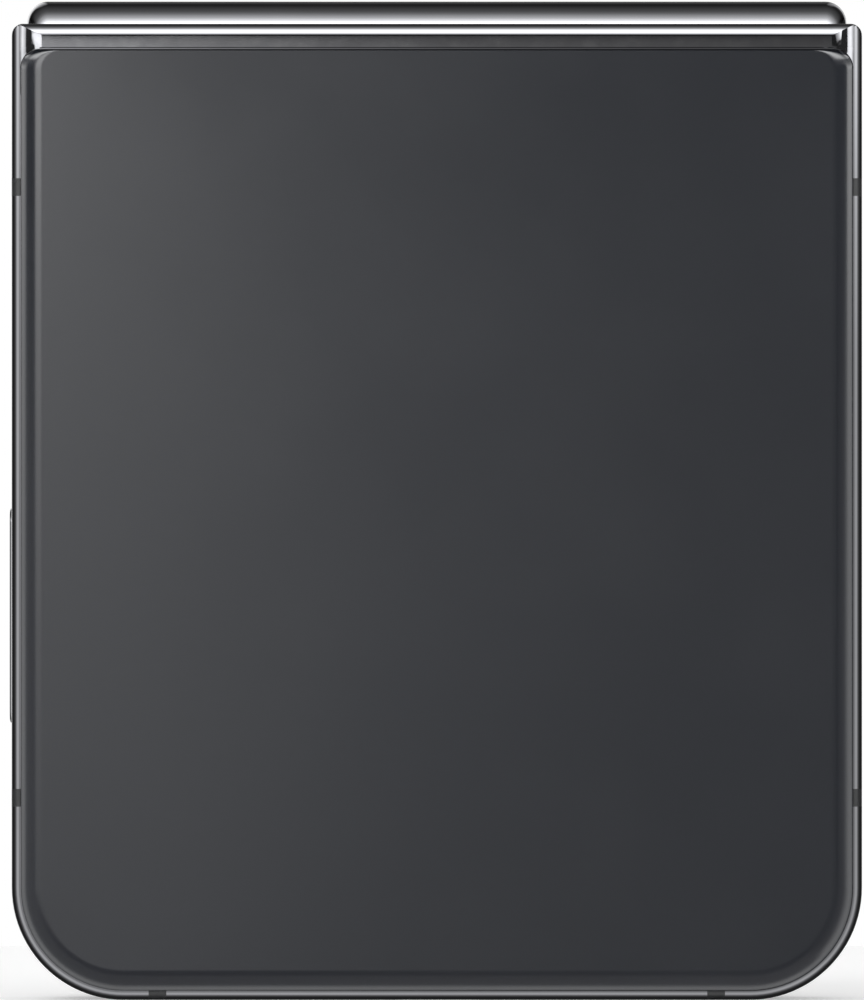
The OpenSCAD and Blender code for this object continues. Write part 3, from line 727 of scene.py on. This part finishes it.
def corner_web(size, side, hand):
    """Rings of the metal between a wall, the bar at the hinge and the round corner of the glass."""
    overlap, crown_steps = 0.1 * MM, 4
    top, seat, r = metal_top(size), glass_seat(size), size.panel_radius
    middle_x = size.half_width - metal_edge(size) - size.glass_gap - r
    middle_y = size.glass_end - r
    near = r + size.glass_gap
    reach_x, reach_y = r + overlap, size.half_length - size.bar_width + overlap - middle_y
    rings = []
    for t in arc(0, 90, 2 * ROUND_STEPS):
        c, s = math.cos(t), math.sin(t)
        far = min(reach_x / max(c, NEARLY_ZERO), reach_y / max(s, NEARLY_ZERO))
        crown = []
        for k in range(crown_steps + 1):
            d = near + (far - near) * k / crown_steps
            inset = size.half_width - (middle_x + d * c)
            lean = math.acos(max(0.0, 1 - inset / size.edge_width))
            crown.append((d, size.flat_high + (top - size.flat_high) * math.sin(lean)))
        rings.append([stand(side, hand * (middle_x + d * c), middle_y + d * s, v)
                      for d, v in crown + [(far, seat), (near, seat)]])
    return rings


def spine_ring(size, x, inset, z_low, closing=None):
    """A ring of the spine's section at x, drawn in by inset, from z_low upwards.

    Where closing is given, the ring runs on straight down to that height.
    """
    r = size.spine_radius - inset
    axis = high("spine_cover").z - size.spine_radius
    start = math.degrees(math.asin((z_low - axis) / r))
    arcs = [(size.axis_offset, arc(start, 90, SPINE_STEPS)),
            (-size.axis_offset, arc(90, 180 - start, SPINE_STEPS))]
    ring = [Vector((x, y + r * math.cos(t), axis + r * math.sin(t))) for y, angles in arcs for t in angles]
    if closing is not None:
        ring += [Vector((x, ring[-1].y, closing)), Vector((x, ring[0].y, closing))]
    return ring


def ribbon(name, path, thickness, x0, x1, material, across=6, crease=50):
    """A strip of this thickness along a path in (y, z), from x0 to x1."""
    inner, outer = [], []
    for k, p in enumerate(path):
        before, after = path[max(k - 1, 0)], path[min(k + 1, len(path) - 1)]
        run = (Vector(after) - Vector(before)).normalized()
        normal = Vector((-run.y, run.x))
        inner.append(Vector(p) - normal * thickness / 2)
        outer.append(Vector(p) + normal * thickness / 2)
    outline = inner + outer[::-1]
    rings = [[Vector((x0 + (x1 - x0) * k / across, q.x, q.y)) for q in outline] for k in range(across + 1)]
    return piece(name, *loft(rings), material, crease)


def turned(side, x, along, profile, steps=72):
    """Points and faces of a (radius, outwards) outline turned about an axis that stands on a back."""
    return loft([[stand(side, x + r * math.cos(t), along + r * math.sin(t), v) for r, v in profile]
                 for t in arc(0, 360, steps)], cap=False)


# ---------------------------------------------------------------- pieces

KEY_ALONG = 32.45 * MM                   # middle of the volume key, from the free edge
RING_WIDTH = 1.3 * MM                    # from a camera ring's bore to its outside
LENS_RADIUS = {"main_camera_ring": 2.1 * MM, "wide_camera_ring": 1.7 * MM}
CAMERA_HOLES = [                         # (across, along, radius) of the dark window's holes
    (-25.5 * MM, 10.5 * MM, 5.25 * MM), (-25.5 * MM, 24.5 * MM, 5.25 * MM), (-17.3 * MM, 17.5 * MM, 1.7 * MM)]
BORE_STEPS = 64                          # faces round each of them
WINDOW_CUT = (7 * MM, 9 * MM)            # heights over the middle plane that their cutters run between

made_finishes = {}


def finish_of(key):
    """The material of this key, made at its first use."""
    if not made_finishes:
        made_finishes.update(make_finishes())
    return made_finishes[key]


class PHONE_OT_carried(Operator):
    """Gives every CAD part that keeps its own shape its finish"""

    bl_idname = "phone.carried"
    bl_label = "Carried parts"

    def execute(self, context):
        for key, nodes in CARRIED.items():
            for node in nodes:
                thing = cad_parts[node]
                thing.data.materials.clear()
                thing.data.materials.append(finish_of(key))
        return {"FINISHED"}


class PHONE_OT_frames(Operator):
    """Builds the two metal frames: side walls, bar at the hinge edge, holes and slots"""

    bl_idname = "phone.frames"
    bl_label = "Frames"

    def execute(self, context):
        size = sizes()
        section = rail_section(size)
        for side, node in ((LOWER, "lower_frame"), (UPPER, "upper_frame")):
            rings = [rail_ring(size, side, stop, section) for stop in rail_stops(size)]
            rail = piece("frame_" + BODY[side], *loft(rings), finish_of("metal"))
            cut_all(rail, self.lower_holes() if side == LOWER else self.upper_holes(size))
            cut_all(rail, [self.spine_cavity(size, side)])
            webs = [loft(corner_web(size, side, hand)) for hand in (-1, 1)]
            add_shapes(rail, [loft(lip_rings(size, side))] + webs + self.inner_wall(side))
            even_normals(rail)
            carry(rail, BODY[side], node)
        return {"FINISHED"}

    def lower_holes(self):
        """The socket's mouth, the row of loudspeaker holes and the microphone's hole."""
        socket = stadium(4.65 * MM, 1.75 * MM)
        speaker, speaker_start, speaker_step, speaker_holes = circle(0.5 * MM), 8.6 * MM, 1.9 * MM, 6
        microphone, microphone_x = circle(0.45 * MM), -9 * MM
        speaker_row = [speaker_start + speaker_step * k for k in range(speaker_holes)]
        return [through_edge(LOWER, 0.0, socket), *(through_edge(LOWER, x, speaker) for x in speaker_row),
                through_edge(LOWER, microphone_x, microphone)]

    def upper_holes(self, size):
        """The slots of the volume key, the side key and the card tray, and the microphone's hole."""
        volume_slot, side_key_slot = stadium(9.3 * MM, 1.4 * MM), stadium(7.1 * MM, 1.6 * MM)
        side_key_along, microphone_x, microphone = 57 * MM, 12 * MM, circle(0.45 * MM)
        inside, outside = size.half_width - 2 * MM, size.half_width + 1 * MM
        left = (-inside, -outside)
        tray_from, tray_to = (inside, 18.9 * MM, 3.9 * MM), (outside, 32.1 * MM, 5.7 * MM)
        return [through_wall(UPPER, KEY_ALONG, volume_slot, left),
                through_wall(UPPER, side_key_along, side_key_slot, left),
                block(UPPER, tray_from, tray_to),
                through_edge(UPPER, microphone_x, microphone)]

    def spine_cavity(self, size, side):
        """The room that the spine turns in, out of the ends of the walls."""
        across, past = high("spine_cover").x + size.cavity_gap, 1 * MM
        return block(side, (-across, HINGE_WALL[1], 0), (across, size.half_length + past, BACK_ROOM))

    def inner_wall(self, side):
        """The wall between the battery room and the hinge room, in four blocks round the cable's slot."""
        x, floor, (near, far), top = 34.46 * MM, 2.75 * MM, HINGE_WALL, BACK_ROOM
        slot_x, slot_v = (-11.7 * MM, -3.3 * MM), (4.2 * MM, 4.8 * MM)
        return [block(side, (-x, near, floor), (slot_x[0], far, top)),
                block(side, (slot_x[1], near, floor), (x, far, top)),
                block(side, (slot_x[0], near, floor), (slot_x[1], far, slot_v[0])),
                block(side, (slot_x[0], near, slot_v[1]), (slot_x[1], far, top))]


class PHONE_OT_bands(Operator):
    """Builds the plastic antenna bands that cross the frames"""

    bl_idname = "phone.bands"
    bl_label = "Antenna bands"

    def execute(self, context):
        size = sizes()
        clear = 0.02 * MM
        foot = glass_seat(size) + clear
        section = [(size.band_depth, size.inner_face)] + rail_section(size)[1:-2]
        section += [(metal_edge(size), foot), (size.band_depth, foot)]
        recessed = [stop for stop in rail_stops(size) if stop[2]]
        for side, node in ((LOWER, "lower_antenna_bands"), (UPPER, "upper_antenna_bands")):
            shapes = [loft(band_rings(size, side, pair, section))
                      for pair in zip(recessed[::2], recessed[1::2])]
            bands = joined("antenna_bands_" + BODY[side], shapes, finish_of("band"))
            carry(even_normals(bands), BODY[side], node)
        return {"FINISHED"}


class PHONE_OT_glass(Operator):
    """Builds the glass of both backs and the dark window over the cover screen"""

    bl_idname = "phone.glass"
    bl_label = "Glass"

    def execute(self, context):
        size = sizes()
        glass, window_glass = finish_of("glass"), finish_of("window")
        rear = piece("glass_of_lower_back", *loft(panel_rings(size, LOWER, 0.0, size.glass_end, True)), glass)
        carry(even_normals(rear), "lower_half", "rear_glass")
        seam = low("upper_rear_glass").z
        upper = piece("glass_of_upper_back",
                      *loft(panel_rings(size, UPPER, seam, size.glass_end, False)), glass)
        carry(even_normals(upper), "upper_half", "upper_rear_glass")
        window = piece("dark_window",
                       *loft(panel_rings(size, UPPER, 0.0, size.window_end, True)), window_glass)
        cut_all(window, [through_back(UPPER, x, along, circle(radius, BORE_STEPS), WINDOW_CUT)
                         for x, along, radius in CAMERA_HOLES])
        smooth(window)
        carry(even_normals(window), "upper_half", "cover_window")
        return {"FINISHED"}


class PHONE_OT_cameras(Operator):
    """Turns the two camera rings, the windows with their stepped lens seats, and the flash window"""

    bl_idname = "phone.cameras"
    bl_label = "Cameras"

    def execute(self, context):
        for node in LENS_RADIUS:
            x, along = self.centre(node)
            ring = piece(node.replace("camera", "lens"),
                         *turned(UPPER, x, along, self.ring_profile(node)), finish_of("metal"))
            carry(even_normals(ring), "upper_half", node)
        shapes = [turned(UPPER, *self.centre(node), self.window_profile(lens))
                  for node, lens in LENS_RADIUS.items()]
        windows = joined("camera_glasses", shapes, finish_of("lens"))
        carry(even_normals(windows), "upper_half", "camera_windows")
        flash = piece("flash_lens", *turned(UPPER, *self.centre("flash_window"), self.flash_profile()),
                      finish_of("flash"))
        carry(even_normals(flash), "upper_half", "flash_window")
        return {"FINISHED"}

    def centre(self, node):
        """Where a node's axis stands: (across, along)."""
        near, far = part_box(node)
        return (near.x + far.x) / 2, (near.z + far.z) / 2

    def ring_profile(self, node):
        """Outline of a ring: a neck in the window's hole, a proud collar with an eased crown and bore."""
        ease, bevel, collar, shoulder = 0.3 * MM, 0.12 * MM, 0.9 * MM, 0.6 * MM
        near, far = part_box(node)
        outer, foot, crown = (far.x - near.x) / 2, near.y, far.y
        bore, neck = outer - RING_WIDTH, outer - shoulder
        profile = [(bore, foot), (neck, foot), (neck, crown - collar), (outer, crown - collar)]
        profile += [(outer - ease + ease * math.cos(t), crown - ease + ease * math.sin(t))
                    for t in arc(0, 90, ROUND_STEPS)]
        return profile + [(bore + bevel, crown), (bore, crown - bevel)]

    def window_profile(self, lens):
        """Outline of a window: flat black border, three steps down to the lens, and the lens's dome."""
        fit, ease, border, dome_height, dome_steps = 0.01 * MM, 0.03 * MM, 1.2 * MM, 0.22 * MM, 10
        treads, tread, tread_flat, riser, tread_slope = 3, 0.4 * MM, 0.32 * MM, 0.09 * MM, 0.02 * MM
        near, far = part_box("camera_windows")
        radius = high("main_camera_ring").x - self.centre("main_camera_ring")[0] - RING_WIDTH - fit
        top, foot = far.y, near.y
        profile = [(0.0, foot), (radius, foot), (radius, top - ease), (radius - ease, top),
                   (lens + border, top)]
        for k in range(treads):
            r, level = lens + border - tread * k, top - riser * (k + 1)
            profile += [(r, level), (r - tread_flat, level - tread_slope)]
        seat = profile[-1][1]
        dome = [(lens * math.cos(t), seat + dome_height * math.sin(t)) for t in arc(0, 90, dome_steps)]
        return profile + dome[:-1] + [(0.0, seat + dome_height)]

    def flash_profile(self):
        """Outline of the flash window: a flange under the glass and a top with fine ring ridges."""
        rise, shoulder, border = 0.4 * MM, 0.6 * MM, 0.1 * MM
        ridges, ridge_step, ridge_depth = 10, 0.13 * MM, 0.035 * MM
        near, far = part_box("flash_window")
        flange, ledge, top = (far.x - near.x) / 2, near.y + rise, far.y
        radius = flange - shoulder
        profile = [(0.0, near.y), (flange, near.y), (flange, ledge), (radius, ledge), (radius, top)]
        profile += [(radius - border - ridge_step * k, top - (0 if k % 2 else ridge_depth))
                    for k in range(ridges)]
        return profile + [(0.0, top)]


class PHONE_OT_spine(Operator):
    """Builds the hollow spine cover with rounded ends"""

    bl_idname = "phone.spine"
    bl_label = "Spine cover"

    def execute(self, context):
        half_stops, end_wall, below_foot, cutter_depth = 6, 1.2 * MM, 0.1 * MM, 0.5 * MM
        size = sizes()
        end, foot = high("spine_cover").x, low("spine_cover").z
        r = size.spine_end
        stops = [(end - r + r * math.sin(t), r * (1 - math.cos(t))) for t in arc(90, 0, PANEL_STEPS)]
        stops += [((end - r) * (1 - k / half_stops), 0.0) for k in range(1, half_stops + 1)]
        stops += [(-x, inset) for x, inset in reversed(stops[:-1])]
        cover = piece("spine_shell", *loft([spine_ring(size, x, inset, foot) for x, inset in stops]),
                      finish_of("spine"))
        inside = end - end_wall
        cut_all(cover, [loft([spine_ring(size, x, size.spine_wall, foot - below_foot, foot - cutter_depth)
                              for x in (-inside, inside)])])
        smooth(cover)
        carry(even_normals(cover), "spine", "spine_cover")
        return {"FINISHED"}


class PHONE_OT_fold(Operator):
    """Builds the bent part of the display and the flat cable, each in two strips"""

    bl_idname = "phone.fold"
    bl_label = "Fold"

    def execute(self, context):
        radius, thick = 1.925 * MM, 0.45 * MM
        box_low, box_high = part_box("display_bend")
        centre = box_high.z - thick / 2 - radius
        top = Vector((0, 0, centre + radius))
        for side in (LOWER, UPPER):
            foot = Vector((0, side * radius, centre))
            strip = ribbon("display_fold_" + BODY[side], self.path_that_opens_flat(side, foot, top), thick,
                           box_low.x, box_high.x, finish_of("display"))
            self.bend(strip, side, foot, top)
            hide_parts("display_bend")
        self.cable()
        return {"FINISHED"}

    def path_that_opens_flat(self, side, foot, top, steps=24, rounds=60, pace=0.4):
        """The closed path of a strip that lies almost flat once the fold is open, as points (y, z).

        Each point is taken from the open strip and turned back by its share of the fold, which is found by
        going a part of the way to it in every round.
        """
        axis = Vector((0, side * sizes().axis_offset, high("spine_cover").z - sizes().spine_radius))
        quarter = side * math.pi / 2
        end = axis + Matrix.Rotation(-quarter, 3, "X") @ (top - axis)
        chord = top - foot
        path = []
        for k in range(steps + 1):
            along = k / steps
            sunk = (1 - math.cos(math.pi * along)) / 2
            opened = Vector((0, foot.y + (end.y - foot.y) * sunk, foot.z + (end.z - foot.z) * along))
            turned_by = along
            for _ in range(rounds):
                point = axis + Matrix.Rotation(quarter * turned_by, 3, "X") @ (opened - axis)
                share = min(1.0, max(0.0, (point - foot).dot(chord) / chord.dot(chord)))
                turned_by += pace * (share * share * (3 - 2 * share) - turned_by)
            path.append((point.y, point.z))
        return path

    def cable(self):
        """The flat cable across the hinge: straight up from each half, then a quarter turn."""
        radius, rise, foot, thick = 3.2 * MM, 80.33 * MM, 77.2 * MM, 0.2 * MM
        straight_steps, turn_steps = 6, 20
        box_low, box_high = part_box("hinge_flex")
        for side in (LOWER, UPPER):
            path = [(side * radius, foot + (rise - foot) * k / straight_steps) for k in range(straight_steps)]
            path += [(side * radius * math.cos(t), rise + radius * math.sin(t))
                     for t in arc(0, 90, turn_steps)]
            path = [(y, min(z, box_high.z - thick / 2)) for y, z in path]
            strip = ribbon("hinge_cable_" + BODY[side], path, thick, box_low.x, box_high.x,
                           finish_of("copper"))
            self.bend(strip, side, Vector((0, side * radius, rise)), Vector((0, 0, rise + radius)))
            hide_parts("hinge_flex")

    def bend(self, strip, side, foot, top):
        """Bakes a strip's placement into its mesh."""
        if side == LOWER:
            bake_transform(strip)
        else:
            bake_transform(strip)


class PHONE_OT_keys(Operator):
    """Builds the volume key with its eased rim"""

    bl_idname = "phone.keys"
    bl_label = "Volume key"

    def execute(self, context):
        half_length, half_width, ease, first_angle, outline_steps = 9.2 * MM, 1.3 * MM, 0.3 * MM, 15, 14
        flange_from, flange_to = (-34.15 * MM, 22.65 * MM, 3.0 * MM), (-33.75 * MM, 42.25 * MM, 6.6 * MM)
        size, behind_wall = sizes(), 0.3 * MM
        inner, outer = size.half_width - size.rail_width - behind_wall, -low("volume_key").x
        crown = [(outer - ease + ease * math.sin(t), ease * (1 - math.cos(t)))
                 for t in arc(first_angle, 90, 5)]
        rings = [[stand(UPPER, -x, KEY_ALONG + a, SIDE_OUT + b)
                  for a, b in stadium(half_length - inset, half_width - inset, outline_steps)]
                 for x, inset in [(inner, 0.0), (outer - ease, 0.0)] + crown]
        key = piece("volume_bar", *loft(rings), finish_of("metal"))
        add_shapes(key, [block(UPPER, flange_from, flange_to)])
        carry(even_normals(key), "volume_key", "volume_key")
        return {"FINISHED"}


# ---------------------------------------------------------------- stage

STAGE_CENTRE = Vector((0, 0, 42 * MM))   # the middle of the closed phone
PHOTO_WIDTH, PHOTO_HEIGHT = 864, 1000    # pixels of the photograph
PHONE_WIDTH = 71.9 * MM
PHONE_PIXELS = 850.5                     # the phone's width in the photograph
PHONE_MIDDLE = 436.8                     # column of its middle plane
PHONE_FOOT = 999.9                       # row of its free edge
WHITE = (1, 1, 1, 1)
KEY_LAMP = (-38, 42, 0.8, 0.35)          # azimuth, elevation, distance and width in metres
FILL_LAMP = (50, 20, 0.9, 0.5)


def direction(azimuth, elevation):
    """Unit vector from the phone; azimuth 0 is towards the camera and grows to its right."""
    a, e = math.radians(azimuth), math.radians(elevation)
    return Vector((math.sin(a) * math.cos(e), -math.cos(a) * math.cos(e), math.sin(e)))


def around_lens(roll, away):
    """Unit vector at this angle away from the camera's direction; roll 0 is right, 90 up and -90 down."""
    r, a = math.radians(roll), math.radians(away)
    return Vector((math.sin(a) * math.cos(r), -math.cos(a), math.sin(a) * math.sin(r)))


def between(stops, value):
    """The height of a broken line through these (place, height) stops."""
    for (a, low_height), (b, high_height) in zip(stops, stops[1:]):
        if value <= b:
            return low_height + (high_height - low_height) * (value - a) / (b - a)
    return stops[-1][1]


def glowing_paper():
    """Paper that gives off the radiance that its mesh carries at each point."""
    material = bpy.data.materials.new("glowing_paper")
    material.use_nodes = True
    tree = material.node_tree
    tree.nodes.clear()
    radiance = tree.nodes.new("ShaderNodeAttribute")
    radiance.attribute_name = "radiance"
    light, out = tree.nodes.new("ShaderNodeEmission"), tree.nodes.new("ShaderNodeOutputMaterial")
    tree.links.new(radiance.outputs["Fac"], light.inputs["Strength"])
    tree.links.new(light.outputs["Emission"], out.inputs["Surface"])
    return material


def reflected_card(name, place_of, across, along, radius, paper, steps=48):
    """A curved card that only shows in reflections; its radiance is the product of two broken lines."""
    places, radiances = [], []
    for k in range(steps + 1):
        v = along[0][0] + (along[-1][0] - along[0][0]) * k / steps
        for j in range(steps + 1):
            u = across[0][0] + (across[-1][0] - across[0][0]) * j / steps
            places.append(STAGE_CENTRE + radius * place_of(u, v))
            radiances.append(between(along, v) * between(across, u))
    row = steps + 1
    faces = [(r * row + k, r * row + k + 1, (r + 1) * row + k + 1, (r + 1) * row + k)
             for r in range(steps) for k in range(steps)]
    mesh = bpy.data.meshes.new(name)
    mesh.from_pydata(places, [], faces)
    mesh.attributes.new("radiance", "FLOAT", "POINT").data.foreach_set("value", radiances)
    mesh.materials.append(paper)
    card = shown(name, mesh)
    card.visible_camera = False
    card.visible_diffuse = False
    card.visible_shadow = False


def area_lamp(name, place, energy):
    """A round lamp that faces the phone, from its azimuth, elevation, distance and width."""
    azimuth, elevation, distance, width = place
    data = bpy.data.lights.new(name, "AREA")
    data.shape = "DISK"
    data.size = width
    data.energy = energy
    lamp = shown(name, data)
    lamp.location = STAGE_CENTRE + distance * direction(azimuth, elevation)
    lamp.rotation_euler = (STAGE_CENTRE - lamp.location).to_track_quat("-Z", "Y").to_euler()
    lamp.visible_glossy = False


class PHONE_OT_stage(Operator):
    """Sets up the camera, the floor, the white surroundings, the lamps and the reflected cards"""

    bl_idname = "phone.stage"
    bl_label = "Stage"

    def execute(self, context):
        self.camera()
        self.surroundings()
        self.floor()
        self.lights()
        context.scene.view_settings.view_transform = "Standard"
        return {"FINISHED"}

    def camera(self):
        """A long lens square to the rear glass, with the phone as large and as high as in the photograph.

        The frame is taller than wide, so the sensor's width spans its height.
        """
        pixel = PHONE_WIDTH / PHONE_PIXELS
        data = bpy.data.cameras.new("camera")
        data.lens, data.sensor_width = 800, 36
        data.clip_start, data.clip_end = 0.05, 20
        distance = PHOTO_HEIGHT / 2 * pixel * data.lens / (data.sensor_width / 2)
        camera = shown("camera", data)
        camera.location = ((PHOTO_WIDTH / 2 - PHONE_MIDDLE) * pixel, -sizes().flat_high - distance,
                           (PHONE_FOOT - PHOTO_HEIGHT / 2) * pixel)
        camera.rotation_euler = (math.radians(90), 0, 0)
        bpy.context.scene.camera = camera

    def surroundings(self):
        """White where the camera, gloss or glass sees it, and an even room light elsewhere."""
        world = bpy.data.worlds.new("white_room")
        bpy.context.scene.world = world
        world.use_nodes = True
        tree = world.node_tree
        tree.nodes.clear()
        rays = tree.nodes.new("ShaderNodeLightPath")
        seen = rays.outputs["Is Camera Ray"]
        for label in ("Is Glossy Ray", "Is Transmission Ray"):
            either = tree.nodes.new("ShaderNodeMath")
            either.operation = "MAXIMUM"
            tree.links.new(seen, either.inputs[0])
            tree.links.new(rays.outputs[label], either.inputs[1])
            seen = either.outputs[0]
        white, room = tree.nodes.new("ShaderNodeBackground"), tree.nodes.new("ShaderNodeBackground")
        room.inputs["Strength"].default_value = bpy.context.scene.phone_studio.room
        mix, out = tree.nodes.new("ShaderNodeMixShader"), tree.nodes.new("ShaderNodeOutputWorld")
        for background in (white, room):
            background.inputs["Color"].default_value = WHITE
        tree.links.new(seen, mix.inputs["Fac"])
        tree.links.new(room.outputs[0], mix.inputs[1])
        tree.links.new(white.outputs[0], mix.inputs[2])
        tree.links.new(mix.outputs[0], out.inputs["Surface"])

    def floor(self):
        """A pale sheet that keeps the phone's shadow and lifts to white away from it."""
        half, tone, roughness, lift_strength = 0.22, (0.9, 0.9, 0.9), 0.8, 0.35
        mesh = bpy.data.meshes.new("floor")
        corners = [(-half, -half, 0), (half, -half, 0), (half, half, 0), (-half, half, 0)]
        mesh.from_pydata(corners, [], [range(len(corners))])
        material = bpy.data.materials.new("pale_paper")
        material.use_nodes = True
        tree = material.node_tree
        paper = tree.nodes["Principled BSDF"]
        paper.inputs["Base Color"].default_value = opaque(tone)
        paper.inputs["Roughness"].default_value = roughness
        paper.inputs["Emission Color"].default_value = WHITE
        rays = tree.nodes.new("ShaderNodeLightPath")
        lift = tree.nodes.new("ShaderNodeMath")
        lift.operation = "MULTIPLY"
        lift.inputs[1].default_value = lift_strength
        tree.links.new(rays.outputs["Is Camera Ray"], lift.inputs[0])
        tree.links.new(lift.outputs[0], paper.inputs["Emission Strength"])
        mesh.materials.append(material)
        sheet = shown("floor", mesh)
        sheet.visible_glossy = False

    def lights(self):
        """The two lamps and the cards."""
        studio = bpy.context.scene.phone_studio
        area_lamp("key", KEY_LAMP, studio.key)
        area_lamp("fill", FILL_LAMP, studio.fill)
        paper = glowing_paper()
        for name, place_of, across, along, radius in CARDS:
            reflected_card(name, place_of, across, along, radius, paper)


# Cards round the phone: name, what its two angles mean, its radiance as a line of (angle, height) stops along
# each of them, and its radius. The dark ones keep the polished edges black, as flags do in a product studio.
CARDS = [
    ("dark_front", direction,
     [(-112, 1), (112, 1)],
     [(-89.9, 0.15), (-8, 0.15), (0, 0.04), (89.9, 0.04)], 0.80),
    ("dark_back", direction,
     [(112, 1), (248, 1)],
     [(-89.9, 0.04), (89.9, 0.04)], 0.80),
    ("front_card", direction,
     [(-5, 3.6), (-3.6, 3.0), (-1.5, 1.6), (0, 1.1), (3, 0.75), (16, 0.6), (22, 0)],
     [(-6.5, 0.26), (5.4, 0.29)], 0.60),
    ("left_card", direction,
     [(-26, 0.2), (-20, 1), (-5, 1)],
     [(-7, 0.4), (-3.5, 0.6), (1, 1.15), (3.6, 1.6), (4.2, 3.2), (12, 3.4), (22, 3.0), (30, 0.3)], 0.60),
    ("rim_ring", around_lens,
     [(-215, 0.1), (-200, 1), (-192, 2.3), (-184, 2.3), (-183, 1.05), (-180, 1.05), (-120, 1),
      (-105, 0.95), (-75, 0.95), (-60, 1), (-45, 0.9)],
     [(22, 0.3), (50, 0.38), (57, 1.2), (64, 1.6), (69, 0.8), (73, 0.45), (77, 0.6), (82, 1.2),
      (90, 1.15), (96, 0.42), (104, 0.14), (114, 0.04)], 0.61),
    ("right_rim", around_lens,
     [(-45, 0.9), (3, 0.9), (4, 2.2), (12, 2.2), (20, 0.9), (35, 0.1)],
     [(22, 0.2), (38, 0.3), (46, 0.8), (54, 1.4), (63, 1.6), (68, 0.9), (73, 0.5), (77, 0.6),
      (83, 1.15), (91, 1.15), (97, 0.45), (105, 0.14), (116, 0.05)], 0.61),
    ("left_flag", around_lens,
     [(-200, 1), (-183.5, 1)],
     [(24, 0.06), (50, 0.06)], 0.585),
    ("right_flag", around_lens,
     [(3.5, 1), (20, 1)],
     [(18, 0.06), (50, 0.06)], 0.585),
    ("overhead", around_lens,
     [(28, 0), (42, 1), (138, 1), (152, 0)],
     [(18, 0.5), (24, 1.4), (31, 3.4), (37, 5), (56, 5), (62, 3.4), (66, 2.5), (72, 1.45), (79, 1.0),
      (87, 0.5), (95, 0.25), (104, 0.17), (114, 0.1), (124, 0.045), (131, 0.03), (139, 0.09),
      (150, 0.15), (176, 0.22)], 0.62),
    ("back_left", direction,
     [(186, 0), (192, 1), (206, 1), (216, 0)],
     [(-20, 0.8), (20, 1.6), (50, 0.2)], 0.60),
    ("back_right", direction,
     [(150, 0), (158, 1), (166, 1), (172, 0)],
     [(-20, 0.4), (20, 0.9), (50, 0.2)], 0.60),
]


# ---------------------------------------------------------------- panel and run

OPERATORS = [
    PHONE_OT_stage, PHONE_OT_carried, PHONE_OT_glass, PHONE_OT_cameras, PHONE_OT_frames, PHONE_OT_bands,
    PHONE_OT_spine, PHONE_OT_fold, PHONE_OT_keys,
]


class PHONE_PT_panel(Panel):
    """Lists the settings and the steps"""

    bl_idname = "PHONE_PT_panel"
    bl_label = "Clamshell phone"
    bl_space_type = "VIEW_3D"
    bl_region_type = "UI"
    bl_category = "Phone"

    def draw(self, context):
        layout = self.layout
        for group in (context.scene.phone_sizes, context.scene.phone_colours, context.scene.phone_studio):
            box = layout.box()
            for name in group.__annotations__:
                box.prop(group, name)
        for operator in OPERATORS:
            layout.operator(operator.bl_idname)


CLASSES = [PhoneSizes, PhoneColours, StudioSettings, *OPERATORS, PHONE_PT_panel]


def register():
    """Registers the classes and puts the settings on the scene."""
    for cls in CLASSES:
        bpy.utils.register_class(cls)
    bpy.types.Scene.phone_sizes = PointerProperty(type=PhoneSizes)
    bpy.types.Scene.phone_colours = PointerProperty(type=PhoneColours)
    bpy.types.Scene.phone_studio = PointerProperty(type=StudioSettings)


def unregister():
    """Takes the settings and the classes away again."""
    for name in ("phone_studio", "phone_colours", "phone_sizes"):
        delattr(bpy.types.Scene, name)
    for cls in reversed(CLASSES):
        bpy.utils.unregister_class(cls)


def main():
    register()
    bpy.ops.phone.stage()
    bpy.ops.phone.carried()
    bpy.ops.phone.glass()
    bpy.ops.phone.cameras()
    bpy.ops.phone.frames()
    bpy.ops.phone.bands()
    bpy.ops.phone.spine()
    bpy.ops.phone.fold()
    bpy.ops.phone.keys()


if __name__ == "__main__":
    main()
